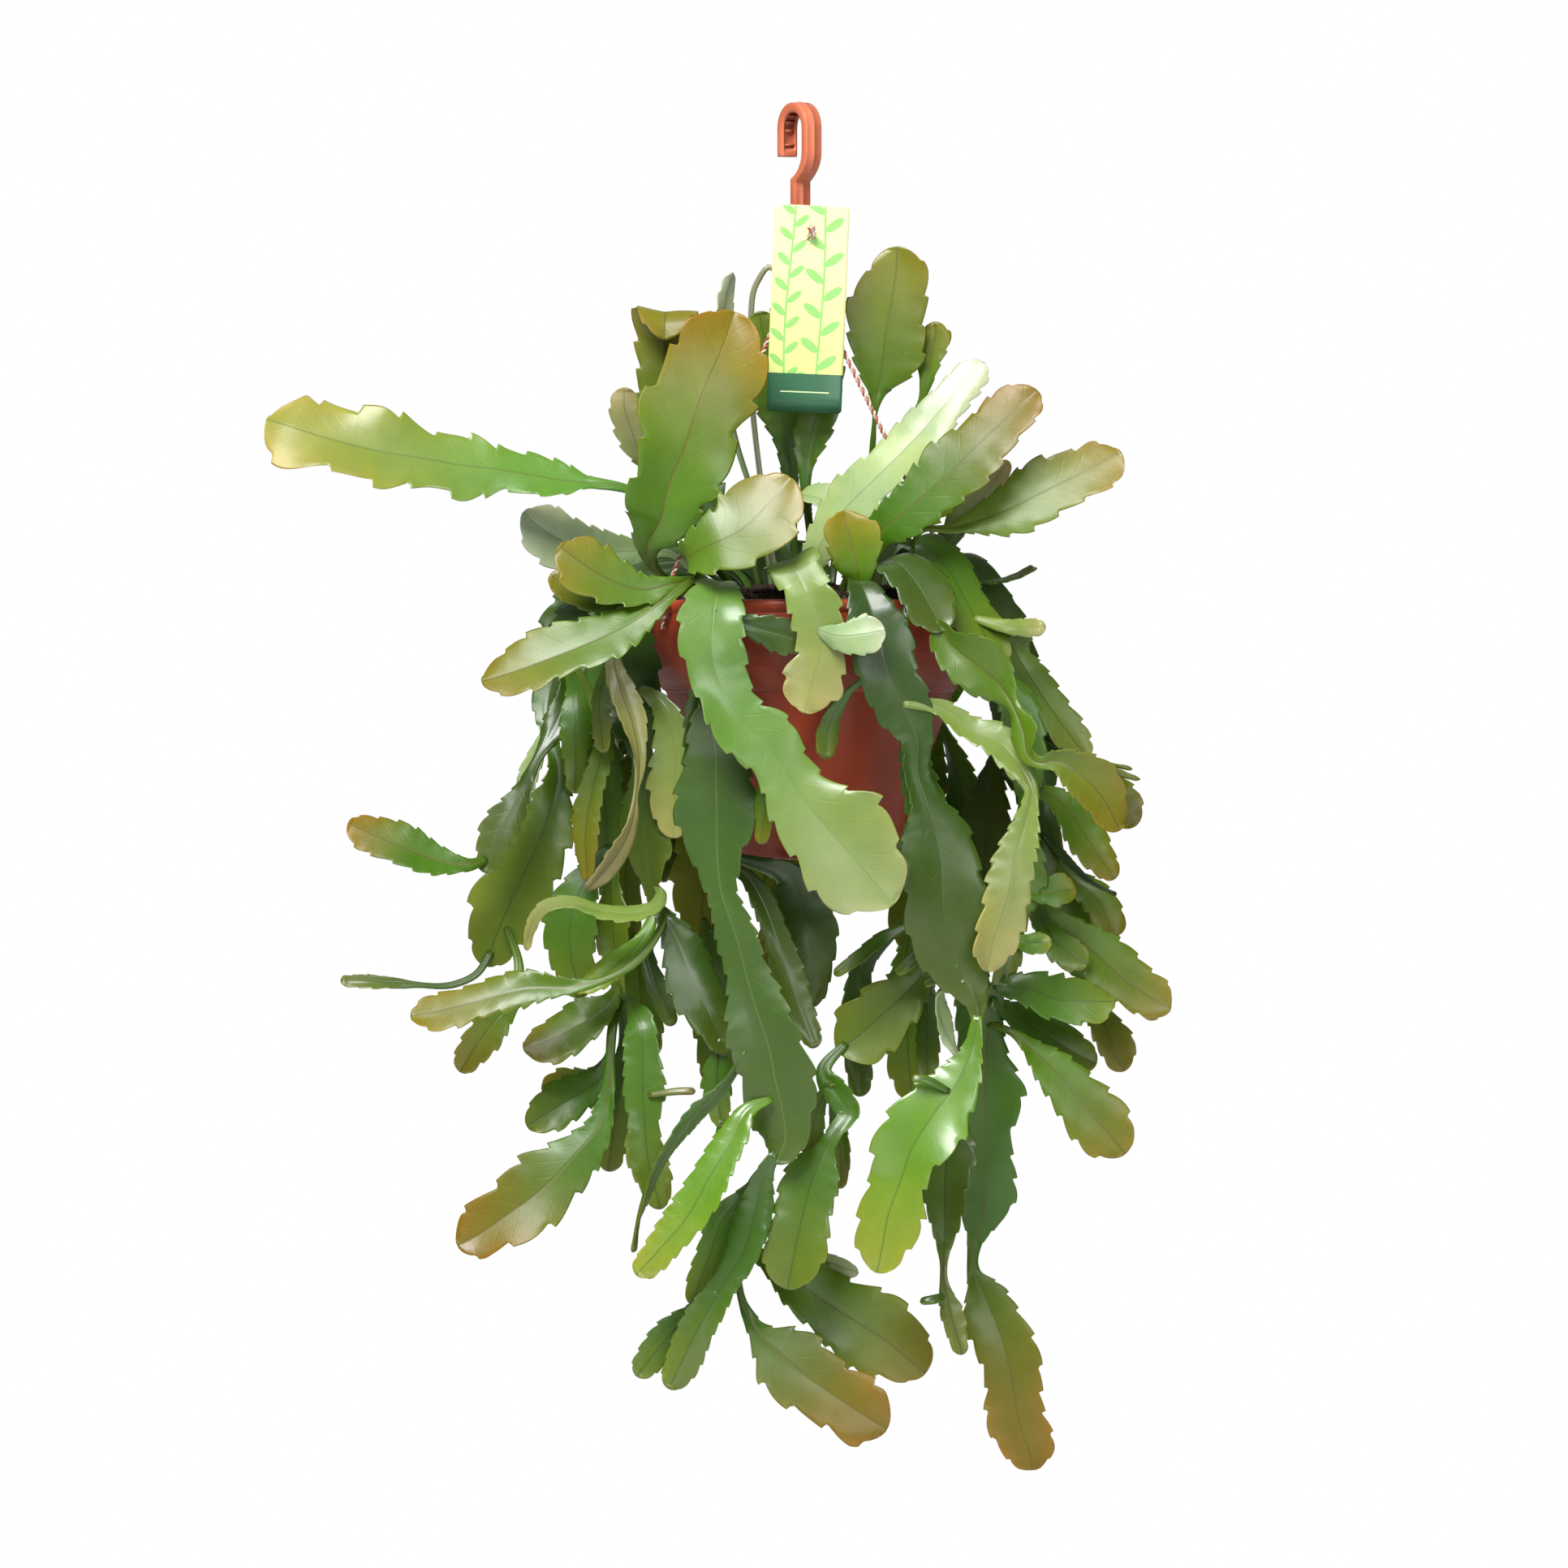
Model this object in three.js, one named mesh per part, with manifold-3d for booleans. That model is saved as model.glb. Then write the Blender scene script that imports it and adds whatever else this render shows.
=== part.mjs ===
// A hanging houseplant, Lepismium houlletianum, in its pot. Millimetres, +Z up.
// X runs to the right of the plant's front, Y to its back. The origin is the underside of the
// hook's crown, where the plant bears on whatever it hangs from.

import * as THREE from 'three';
import { mergeVertices } from 'three/addons/utils/BufferGeometryUtils.js';
import Module from 'manifold-3d';

// Driving dimensions
const potAxisX = 5;
const potRimTop = -240.5;
const potRimRadius = 80.5;
const potBaseRadius = 40;
const potHeight = 128;
const potWall = 2;
const potSides = 28;
const soilTop = -236;
const soilDepth = 24;
const rootBottom = -252;
const rootHoleRadius = 3.8;
const rootWidth = 4;
const lugRadius = 85;
const lugAngles = [-30, 90, 210];
const cordRadius = 1.25;
const hubHeight = -79;
const hubRadius = 8;
const strapWidth = 9.5;
const strapThickness = 5;
const strapPocket = 2.6;
const hookInnerRadius = 8;
const hookTurn = THREE.MathUtils.degToRad(-55);
const labelWidth = 37;
const labelHeight = 102;
const labelThickness = 0.8;
const bladeThickness = 2.4;
const toothDepth = 0.14;
const touchGap = 0.3;
const plantShift = 2;

const wasm = await Module();
wasm.setup();

// Joining and cutting

function toSolid(geometry) {
  const bare = geometry.clone();
  bare.deleteAttribute('normal');
  bare.deleteAttribute('uv');
  const merged = mergeVertices(bare, 1e-4);
  return new wasm.Manifold(new wasm.Mesh({
    numProp: 3,
    vertProperties: new Float32Array(merged.attributes.position.array),
    triVerts: new Uint32Array(merged.index.array),
  }));
}

function toGeometry(solid) {
  const mesh = solid.getMesh();
  const geometry = new THREE.BufferGeometry();
  geometry.setAttribute('position', new THREE.BufferAttribute(mesh.vertProperties, 3));
  geometry.setIndex(new THREE.BufferAttribute(mesh.triVerts, 1));
  geometry.computeVertexNormals();
  return geometry;
}

function joined(geometries) {
  return toGeometry(geometries.map(toSolid).reduce((whole, next) => whole.add(next)));
}

// The curve through a blade's stations: each column of the table is a cubic between neighbours,
// with slopes weighted by the distances to them.

function alongStations(stations, spacing) {
  const knots = [0];
  for (let i = 1; i < stations.length; i++) {
    knots.push(knots[i - 1] + Math.hypot(...[0, 1, 2].map((k) => stations[i][k] - stations[i - 1][k])));
  }
  const last = stations.length - 1;
  const chord = (i, k) => (stations[i + 1][k] - stations[i][k]) / (knots[i + 1] - knots[i]);
  const slope = (i, k) => {
    if (i === 0) return chord(0, k);
    if (i === last) return chord(last - 1, k);
    const before = knots[i] - knots[i - 1];
    const after = knots[i + 1] - knots[i];
    return (chord(i, k) * before + chord(i - 1, k) * after) / (before + after);
  };
  const count = Math.ceil(knots[last] / spacing);
  const samples = [];
  for (let n = 0, i = 0; n <= count; n++) {
    const t = knots[last] * n / count;
    while (i < last - 1 && t > knots[i + 1]) i++;
    const step = knots[i + 1] - knots[i];
    const u = (t - knots[i]) / step;
    samples.push([0, 1, 2, 3].map((k) => (
      (2 * u ** 3 - 3 * u ** 2 + 1) * stations[i][k] + (u ** 3 - 2 * u ** 2 + u) * step * slope(i, k)
      + (3 * u ** 2 - 2 * u ** 3) * stations[i + 1][k] + (u ** 3 - u ** 2) * step * slope(i + 1, k))));
  }
  return samples;
}

// A blade's frame at each sample: the way across it is set at the tip from the way its face looks,
// and carried back to the base without turning about the blade, then twisted by an even amount.

function bladeFrames(stations, face, twist) {
  const samples = alongStations(stations, 2);
  const points = samples.map((s) => new THREE.Vector3(s[0], s[1], s[2]));
  const ways = points.map((p, i) => points[Math.min(i + 1, points.length - 1)].clone()
    .sub(points[Math.max(i - 1, 0)]).normalize());
  const lengths = [0];
  for (let i = 1; i < points.length; i++) {
    lengths.push(lengths[i - 1] + points[i].distanceTo(points[i - 1]));
  }
  const length = lengths[points.length - 1];
  const across = [];
  let carried = ways[ways.length - 1].clone().cross(new THREE.Vector3(...face)).normalize();
  for (let i = points.length - 1; i >= 0; i--) {
    carried = carried.clone().addScaledVector(ways[i], -carried.dot(ways[i])).normalize();
    const turn = THREE.MathUtils.degToRad(twist) * (1 - lengths[i] / length);
    across[i] = carried.clone().applyAxisAngle(ways[i], turn);
  }
  const frameAt = (s) => {
    const n = Math.min(points.length - 2, Math.floor((points.length - 1) * s / length));
    const u = (s - lengths[n]) / (lengths[n + 1] - lengths[n]);
    const side = across[n].clone().lerp(across[n + 1], u).normalize();
    const way = ways[n].clone().lerp(ways[n + 1], u).normalize();
    return {
      at: points[n].clone().lerp(points[n + 1], u),
      side,
      up: side.clone().cross(way).normalize(),
      width: samples[n][3] + (samples[n + 1][3] - samples[n][3]) * u,
    };
  };
  return { length, frameAt, tipWidth: stations[stations.length - 1][3] };
}

// A toothed blade. Its two margins and its two mid lines, one on each face, are four runs of
// vertices. Teeth alternate from side to side: a margin swells to a point that looks to the tip,
// then drops back. Both faces are split into triangles alike.

const narrowest = 9;

function bladeGeometry({ stations, face, twist, fold, wave }) {
  const { length, frameAt, tipWidth } = bladeFrames(stations, face, twist);
  const rounding = Math.max(1.5, 0.55 * tipWidth);
  const widthAt = (s) => {
    const over = Math.max(0, (s - (length - rounding)) / rounding);
    return Math.max(2.2, frameAt(s).width) * Math.sqrt(Math.max(0, 1 - over * over));
  };
  const wavePeriod = 55;
  const vertices = [];
  const place = (s, side, share, lift) => {
    const { at, side: across, up } = frameAt(s);
    const half = widthAt(s) / 2 * share;
    const beat = Math.sin(2 * Math.PI * s / wavePeriod + side);
    const ripple = side === 0 ? 0 : wave * beat * Math.min(1, half / 12);
    const raise = Math.abs(side) * fold * half + ripple + lift;
    vertices.push(at.addScaledVector(across, side * half).addScaledVector(up, raise));
    return vertices.length - 1;
  };
  const runs = { left: [], right: [], top: [], under: [] };
  const mark = (name, s, share = 1) => {
    const thick = bladeThickness / 2 * Math.min(1, 0.6 + 2 * (length - s) / length);
    const side = { left: -1, right: 1, top: 0, under: 0 }[name];
    const lift = { left: 0, right: 0, top: thick, under: -thick }[name];
    runs[name].push({ s, vertex: place(s, side, share, lift) });
  };
  const all = (s) => ['left', 'right', 'top', 'under'].forEach((name) => mark(name, s));
  all(0);
  const end = length - rounding * 0.8;
  const backOff = 0.9;
  for (let s = 0; ;) {
    const width = widthAt(s);
    const pitch = width < narrowest ? 17 : THREE.MathUtils.clamp(0.6 * width, 16, 24);
    if (s + pitch > end) break;
    if (width < narrowest) {
      s += pitch;
      all(s);
      continue;
    }
    mark('right', s + pitch / 2 - backOff);
    mark('right', s + pitch / 2, 1 - toothDepth);
    s += pitch;
    mark('left', s - backOff);
    mark('left', s, 1 - toothDepth);
    mark('top', s);
    mark('under', s);
  }
  all(end + rounding * 0.4);
  const tip = place(length, 0, 1, 0);
  Object.values(runs).forEach((run) => run.push({ s: length, vertex: tip }));

  const faces = [];
  const add = (a, b, c) => { if (a !== b && b !== c && c !== a) faces.push(a, b, c); };
  const strip = (one, two, flip) => {
    let i = 0;
    let j = 0;
    while (i < one.length - 1 || j < two.length - 1) {
      const first = j === two.length - 1 || (i < one.length - 1 && one[i + 1].s <= two[j + 1].s);
      const next = first ? one[i + 1].vertex : two[j + 1].vertex;
      if (flip) add(one[i].vertex, next, two[j].vertex);
      else add(one[i].vertex, two[j].vertex, next);
      if (first) i++;
      else j++;
    }
  };
  strip(runs.left, runs.top, false);
  strip(runs.top, runs.right, false);
  strip(runs.left, runs.under, true);
  strip(runs.under, runs.right, true);
  const [left, right, top, under] = ['left', 'right', 'top', 'under'].map((name) => runs[name][0].vertex);
  add(left, right, top);
  add(left, under, right);
  const geometry = new THREE.BufferGeometry();
  const numbers = vertices.flatMap((v) => v.toArray());
  geometry.setAttribute('position', new THREE.Float32BufferAttribute(numbers, 3));
  geometry.setIndex(faces);
  return geometry;
}

// Each blade is a list of stations along its middle, [x, y, z, full width], then the way its face
// looks at the tip, its twist from tip to base in degrees, how far its margins rise for each
// millimetre of half width, and the height of the waves in its margins.

const blade = (stations, face, twist = 0, fold = 0.12, wave = 0) => ({ stations, face, twist, fold, wave });

// A stem is its blades, the first of them standing in its own hole in the soil.

const stem = (name, tone, root, blades) => ({ name, tone, root, blades });

const stems = [
  stem("stem_upright_left", "bronze", [-56, -24], [
    blade([[-70, -31, -228, 4], [-77, -44, -215, 14], [-70, -50, -201, 38], [-67, -52, -187, 44],
      [-59, -54, -167, 52], [-50, -52, -140, 56], [-40, -46, -117, 46], [-34, -40, -99, 26]],
      [0.3, -0.9, 0.3], 0, 0.16, 0),
  ]),
  stem("stem_long_left", "glossy", [-28, -12], [
    blade([[-38, -14, -222, 4], [-60, -22, -200, 4], [-87, -28, -186, 5], [-107, -31, -183, 10],
      [-119, -33, -182, 24], [-131, -35, -180, 30], [-148, -38, -177, 24], [-166, -41, -175, 37],
      [-184, -44, -172, 37], [-213, -48, -167, 44], [-239, -50, -160, 47], [-254, -49, -155, 42],
      [-264, -44, -152, 30]], [0.1, -0.85, 0.5], 0, 0.1, 1.6),
  ]),
  stem("stem_folded_left", "mid", [-36, 4], [
    blade([[-46, -2, -222, 4], [-60, -12, -200, 6], [-68, -16, -180, 14], [-70, -18, -160, 26],
      [-69, -18, -130, 30], [-68, -19, -108, 30], [-68, -24, -99, 31], [-68, -31, -104, 26],
      [-68, -34, -113, 14]], [0, -0.95, 0.2], 0, 0.06, 0),
    blade([[-66, -17, -184, 4], [-78, -24, -172, 8], [-84, -28, -158, 18], [-88, -29, -146, 18],
      [-88, -28, -136, 12]], [-0.2, -0.95, 0.1], 0, 0.1, 0),
  ]),
  stem("stem_pale_edge", "pale", [-16, 8], [
    blade([[-22, 4, -200, 4], [-34, 0, -160, 5], [-41, -4, -122, 10], [-40, -6, -104, 14],
      [-38, -7, -90, 13], [-35, -7, -79, 7]], [0.92, -0.38, 0.1], 0, 0.1, 0),
  ]),
  stem("stem_thin_arch", "mid", [-14, 26], [
    blade([[-20, 24, -190, 3], [-26, 20, -130, 3], [-26, 17, -103, 3], [-23, 15, -84, 3],
      [-16, 14, -76, 3], [-13, 14, -79, 4], [-11, 14, -90, 10], [-11, 13, -103, 14], [-11, 13, -114, 8]],
      [0.1, -0.95, 0.1], 0, 0.1, 0),
  ]),
  stem("stem_front_left", "bronze", [-46, -46], [
    blade([[-54, -58, -226, 5], [-56, -76, -220, 16], [-45, -85, -214, 36], [-32, -87, -208, 46],
      [-18, -85, -195, 42], [-6, -81, -181, 28]], [-0.2, -0.9, 0.35], 0, 0.16, 0),
    blade([[-50, -52, -231, 4], [-64, -62, -233, 8], [-78, -66, -236, 18], [-93, -69, -232, 31],
      [-110, -71, -222, 30], [-120, -71, -214, 18]], [-0.1, -0.85, 0.5], 0, 0.14, 0),
    blade([[-66, -62, -234, 4], [-88, -54, -242, 14], [-110, -51, -236, 22], [-125, -50, -229, 14]],
      [-0.1, -0.9, 0.4], 0, 0.1, 0),
    blade([[-54, -58, -231, 4], [-64, -66, -238, 8], [-84, -74, -252, 22], [-102, -78, -261, 31],
      [-122, -80, -269, 33], [-144, -81, -277, 30], [-158, -80, -281, 20]], [0, -0.8, 0.6], 0, 0.12, 0),
    blade([[-84, -72, -252, 3], [-93, -66, -268, 7], [-90, -65, -284, 14], [-84, -65, -302, 14],
      [-81, -65, -320, 8], [-83, -65, -338, 3], [-85, -66, -352, 10], [-92, -67, -366, 14],
      [-100, -68, -376, 10], [-107, -68, -383, 5]], [0.8, -0.55, 0.1], 20, 0.3, 0),
    blade([[-90, -70, -256, 3], [-95, -58, -272, 6], [-100, -54, -290, 11], [-99, -53, -306, 11],
      [-98, -53, -316, 6]], [-0.5, -0.85, 0.1], 0, 0.1, 0),
  ]),
  stem("stem_pale_left", "pale", [-52, 3], [
    blade([[-64, 1, -219, 4], [-84, -3, -217, 12], [-104, -8, -217, 26], [-120, -12, -211, 32],
      [-132, -14, -203, 28], [-138, -15, -197, 18]], [0.1, -0.85, 0.5], 0, 0.1, 0),
  ]),
  stem("stem_behind_label_left", "mid", [-4, 14], [
    blade([[-5, 14, -200, 4], [-6, 12, -182, 8], [-8, 9, -163, 14], [-11, 6, -148, 22],
      [-16, 4, -125, 26], [-20, 3, -108, 22], [-22, 3, -98, 12]], [-0.1, -0.95, 0.1], 0, 0.12, 0),
  ]),
  stem("stem_behind_label_right", "mid", [6, 0], [
    blade([[3, -2, -205, 4], [1, -3, -186, 5], [1, -3, -175, 8], [3, -3, -161, 17], [6, -3, -149, 22],
      [9, -2, -128, 24], [10, -1, -107, 14]], [0.15, -0.95, 0.1], 0, 0.12, 0),
    blade([[2, -3, -190, 4], [-2, -14, -189, 10], [7, -22, -191, 18], [17, -27, -196, 12]],
      [0.1, -0.5, 0.85], 0, 0.1, 0),
  ]),
  stem("stem_upright_right", "bright", [26, 12], [
    blade([[30, 10, -200, 4], [34, 8, -165, 3], [36, 7, -141, 7], [39, 6, -124, 35], [41, 5, -107, 41],
      [44, 5, -90, 39], [46, 6, -76, 29], [46, 6, -66, 20]], [0.15, -0.95, 0.15], 0, 0.1, 0),
    blade([[33, 8, -172, 3], [50, 12, -155, 3], [58, 13, -142, 3], [61, 13, -131, 8], [63, 13, -120, 15],
      [65, 13, -110, 17], [65, 13, -103, 10]], [-0.1, -0.95, 0.1], 0, 0.1, 0),
  ]),
  stem("stem_pale_right", "pale", [2, -34], [
    blade([[4, -36, -226, 10], [9, -39, -213, 24], [20, -43, -197, 30], [36, -46, -181, 30],
      [52, -46, -165, 28], [68, -44, -147, 24], [80, -41, -133, 20], [89, -38, -124, 13]],
      [-0.25, -0.85, 0.45], 0, 0.1, 0.8),
  ]),
  stem("stem_broad_right", "bronze", [20, -46], [
    blade([[26, -51, -226, 5], [36, -57, -209, 14], [50, -62, -198, 28], [66, -65, -184, 34],
      [89, -65, -162, 34], [104, -62, -148, 28], [115, -59, -138, 18]], [-0.2, -0.9, 0.35], 0, 0.1, 0),
  ]),
  stem("stem_pale_stripe", "pale", [44, -4], [
    blade([[56, -10, -226, 5], [70, -16, -212, 12], [84, -19, -194, 18], [93, -20, -183, 16],
      [101, -20, -172, 8]], [0.68, -0.25, 0.68], 0, 0.1, 0),
  ]),
  stem("stem_front_wavy", "yellow", [-4, -60], [
    blade([[-6, -66, -226, 20], [-6, -82, -222, 32], [0.8, -91, -235.2, 23.2], [7.2, -94, -251.2, 27.2],
      [8, -94, -268, 28], [4, -94, -282, 31.2], [0.8, -94, -296.8, 18]],
      [0.1, -0.95, 0.15], 0, 0.12, 1.2),
    blade([[7, -94, -256, 4], [18, -101, -259, 15], [30, -104, -258, 23], [40, -104, -256, 17]],
      [0, -0.95, 0.3], 0, -0.1, 0),
  ]),
  stem("stem_front_chain", "glossy", [-34, -52], [
    blade([[-38, -60, -234, 10], [-41.2, -76, -233.6, 20], [-43.6, -88, -242.8, 28.8],
      [-44.8, -95, -262.8, 37.6], [-42.4, -95, -276.8, 31.2], [-38, -95, -288, 27.2],
      [-31.2, -96, -300, 32.8], [-20, -98, -310.8, 36.8], [-12, -100, -321.6, 28.8],
      [-4.8, -102, -332, 32.8], [6, -105, -346.8, 46], [20, -107, -362.8, 56.8],
      [32.8, -108, -377.6, 47.2], [44, -108, -390.4, 24.8]], [-0.15, -0.9, 0.4], 0, 0.1, 1.2),
    blade([[-43.6, -90, -247.6, 4], [-26, -87, -254, 12], [-8, -87, -259.2, 18], [4, -87, -264, 10]],
      [0.1, -0.95, 0.1], 0, 0.1, 0),
    blade([[-16, -98.5, -316, 4], [-15.2, -90, -324, 8.8], [-18, -87, -340, 12.8],
      [-20.8, -85, -360.8, 7.2]], [-0.3, -0.95, 0.1], 0, 0.1, 0),
    blade([[-39.2, -94.5, -283.2, 4], [-44.8, -84, -292.8, 12.8], [-44.4, -80, -306.8, 28],
      [-43.2, -78, -314.8, 34.4], [-42.8, -77, -328.8, 39.2], [-42.4, -77, -344.8, 41.2],
      [-42.4, -77, -360.8, 36], [-41.6, -78, -372.8, 26], [-40, -79, -384.8, 16], [-36, -81, -396.8, 18],
      [-32, -82, -408.8, 24], [-28, -82, -424.8, 24], [-23.2, -82, -440.8, 30],
      [-16.8, -82, -460.8, 40.8], [-13.6, -82, -476.8, 39.2], [-10, -82, -492.8, 34],
      [-8.8, -82, -504.8, 26], [-13.6, -82, -517.6, 9.6]], [-0.1, -0.97, 0.15], 0, 0.1, 0.8),
    blade([[-28, -82, -462, 4], [-36, -79, -473, 8], [-43, -79, -483, 10], [-55, -79, -495, 12],
      [-66, -79, -510, 12], [-75, -79, -526, 12], [-80, -79, -540, 11], [-84, -79, -561, 6]],
      [0.75, -0.3, 0.55], 0, 0.2, 0),
    blade([[-16, -83, -486, 4], [-28, -88, -492, 10], [-34, -91, -504, 18], [-46, -94, -524, 24],
      [-58, -95, -545, 22], [-71, -94, -560, 18], [-82, -93, -572, 11]], [-0.25, -0.9, 0.3], 0, 0.14, 0),
    blade([[-14, -82, -512, 4], [-20, -81, -524, 12], [-24, -80, -541, 18], [-30, -80, -561, 19],
      [-40, -80, -577, 14], [-49, -80, -593, 18], [-58, -80, -611, 20], [-66, -80, -628, 12]],
      [0.1, -0.95, 0.1], 0, 0.1, 0),
    blade([[-19, -80, -522, 4], [-28, -70, -532, 8], [-39, -66, -544, 12], [-46, -65, -563, 16],
      [-51, -65, -576, 14], [-55, -65, -587, 8]], [-0.2, -0.95, 0.1], 0, 0.1, 0),
    blade([[-42, -80, -581, 4], [-54, -72, -590, 9], [-66, -70, -602, 17], [-75, -70, -613, 17],
      [-82, -70, -622, 10]], [0.1, -0.9, 0.3], 0, 0.1, 0),
    blade([[-44.8, -91.5, -252.8, 4], [-48, -80, -264, 6], [-51.2, -72, -284, 8], [-52, -64, -302, 16],
      [-50, -60, -320, 22], [-48, -58, -340, 22], [-44, -57, -358, 12], [-38, -58, -370, 6],
      [-28, -59, -376.8, 8], [-20.8, -60, -388, 12.8], [-14, -60, -404.8, 15.2], [-7.2, -60, -424.8, 16],
      [0, -60, -446, 16], [6, -60, -460.8, 8.8]], [0.2, -0.95, 0.1], 0, 0.1, 0),
    blade([[-38, -57, -366, 4], [-20, -50, -371, 8], [-7, -46, -376, 16], [-2, -44, -391, 27],
      [4, -44, -411, 27], [5, -44, -426, 20], [3, -44, -441, 11]], [0.15, -0.95, 0.1], 0, 0.12, 0),
  ]),
  stem("stem_front_right", "mid", [24, -60], [
    blade([[27, -64, -236, 6], [27, -68, -230, 14], [24, -70, -215, 29], [21, -70, -204, 26],
      [20, -69, -197, 18]], [0.1, -0.95, 0.2], 0, 0.2, 0),
    blade([[26, -66, -232, 4.8], [28, -80, -232.8, 15.2], [32.8, -89, -245.6, 24.8],
      [37.2, -92, -260.8, 31.2], [40.8, -93, -276.8, 34], [48.8, -92, -293.6, 28.8],
      [55.2, -91, -308.8, 16.8], [55.2, -91, -324.8, 16], [60, -92, -340.8, 19.2],
      [64.8, -92, -356.8, 36], [67.2, -93, -368.8, 43.2], [68, -94, -384.8, 46], [70, -93, -404.8, 36],
      [78, -91, -424.8, 28.8], [84.8, -90, -440.8, 10], [85.2, -89, -449.6, 5.6]],
      [0.2, -0.95, 0.15], 0, 0.1, 0.8),
    blade([[85.2, -90, -444.8, 4.8], [84, -91, -453.6, 8], [82, -92, -461.6, 11.2], [76, -94, -476.8, 26],
      [64, -96, -492.8, 40], [52.8, -96, -510.8, 36.8], [47.2, -95, -526.8, 32.8],
      [42, -95, -540.8, 36.8], [38.8, -94, -556.8, 30.4], [36, -92, -570.8, 18]],
      [-0.2, -0.92, 0.3], 0, 0.12, 0.8),
    blade([[48.8, -92, -292, 4], [66, -90, -293.6, 8.8], [80, -91, -303.2, 16], [96, -93, -311.2, 20.8],
      [106, -94, -323.2, 15.2], [111.2, -94, -332.8, 8], [108.8, -94, -348.8, 14], [104, -95, -364, 20],
      [100, -96, -387.2, 26], [92.8, -96, -408.8, 24], [90, -96, -423.2, 15.2]],
      [0.3, -0.9, 0.25], 0, 0.16, 0),
    blade([[84.8, -90, -447.2, 3.2], [80, -80, -478, 3.2], [76, -76, -490.8, 6.4],
      [72.8, -75, -500, 19.2], [70.4, -73, -512.8, 32], [69.2, -72, -526.8, 29.6],
      [69.2, -72, -538.8, 22.4], [69.2, -71, -550.8, 14.4], [68.8, -70, -566, 4], [68.8, -71, -574, 4],
      [72, -72, -590, 12], [78, -72, -611.2, 7.2]], [-0.2, -0.95, 0.05], 0, 0.1, 0),
    blade([[69, -70, -582, 3], [64, -77, -584, 5], [57, -77, -585, 4]], [0, -0.9, 0.4], 0, 0.1, 0),
    blade([[78.8, -90.5, -427.2, 3.2], [66, -82, -434, 8], [68, -78, -450, 11.2], [76, -77, -466, 4.8]],
      [0.85, -0.4, 0.2], 0, 0.1, 0),
    blade([[75.6, -91.5, -420, 3.2], [66, -84, -426, 6], [59.2, -83, -430, 4]],
      [0, -0.9, 0.4], 0, 0.1, 0),
    blade([[71.2, -95, -481.6, 3.2], [59.2, -98, -476, 4.8], [52.8, -98, -475.2, 4]],
      [0, -0.9, 0.4], 0, 0.1, 0),
    blade([[39.6, -92.5, -270.8, 4], [32, -87, -278, 4], [22, -84, -286, 4], [15.2, -83, -296, 8.8],
      [11.2, -82, -308, 12.8], [11.2, -81, -319.2, 8]], [0.1, -0.95, 0.1], 0, 0.1, 0),
  ]),
  stem("stem_right_drape", "dark", [30, -42], [
    blade([[34, -52, -226, 10], [44, -62, -222, 26], [55, -70, -233, 31], [62, -76, -245, 29],
      [68, -80, -257, 18]], [0.35, -0.85, 0.4], 0, 0.14, 0),
    blade([[66, -78, -251, 5], [72, -80, -262, 18], [84, -84, -272, 30], [96, -86, -282, 22],
      [103, -90, -293, 8], [108, -98, -306, 17], [111, -103, -318, 9], [116, -106, -321, 6],
      [123, -106, -320, 12], [136, -104, -327, 24], [147, -101, -339, 25], [155, -98, -354, 16]],
      [0.1, -0.9, 0.35], 0, 0.3, 0),
    blade([[52, -69, -231.2, 4], [50, -77, -252, 4], [50, -77, -270, 4], [50, -75, -292, 6],
      [55.2, -70, -320, 16], [60, -67, -348, 24], [62, -66, -374, 26], [60.8, -64, -396, 14],
      [60, -63, -414, 6], [58, -62, -424.8, 10], [51.2, -62, -432.8, 24], [39.2, -62, -444, 36.8],
      [27.2, -62, -454.8, 34], [16.8, -62, -462.8, 18]], [0.1, -0.95, 0.2], 0, 0.14, 0),
    blade([[20.8, -62, -458.4, 4], [10, -66, -472.8, 8], [16.8, -70, -484, 12.8], [22, -72, -492.8, 12.8],
      [16.8, -74, -500, 10], [12, -75, -507.2, 8.8], [6, -76, -520, 24], [0, -76, -540.8, 32],
      [-4, -76, -559.2, 31.2], [-8, -75, -579.2, 20]], [-0.1, -0.95, 0.2], 0, 0.12, 0),
    blade([[61, -66, -398, 4], [50, -68, -402, 6], [40, -69, -406, 9], [28, -69, -416, 9],
      [15, -68, -425, 5]], [0.2, -0.75, 0.6], 0, 0.1, 0),
    blade([[60, -64, -406, 4], [57, -74, -413, 6], [52, -77, -419, 8], [45, -77, -424, 5]],
      [0.2, -0.85, 0.4], 0, 0.1, 0),
    blade([[58, -64, -396, 4], [42, -46, -406, 6], [28, -41, -424, 13], [26, -40, -450, 16],
      [27, -40, -470, 15], [28, -40, -485, 9]], [0.1, -0.95, 0.1], 0, 0.1, 0),
    blade([[59, -62, -412, 4], [60, -52, -430, 10], [61, -49, -455, 14], [61, -49, -477, 8]],
      [-0.2, -0.95, 0.1], 0, 0.1, 0),
    blade([[13, -70, -477, 4], [6, -60, -492, 9], [4, -59, -506, 12], [5, -58, -520, 8]],
      [0.2, -0.95, 0.1], 0, 0.1, 0),
    blade([[14, -70, -478, 4], [16, -57, -496, 8], [18, -56, -512, 10], [18, -56, -530, 6]],
      [0.3, -0.9, 0.1], 0, 0.1, 0),
  ]),
  stem("stem_right_arch", "dark", [46, -28], [
    blade([[47, -34, -222, 8], [56, -42, -214, 20], [69, -48, -224, 25], [81, -54, -244, 26],
      [92, -59, -265, 22], [99, -60, -281, 10]], [0.5, -0.8, 0.35], 0, 0.14, 0),
    blade([[52, -42, -216, 3], [60, -53, -206, 3], [70, -54, -206, 5], [80, -55, -204, 12],
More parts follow.
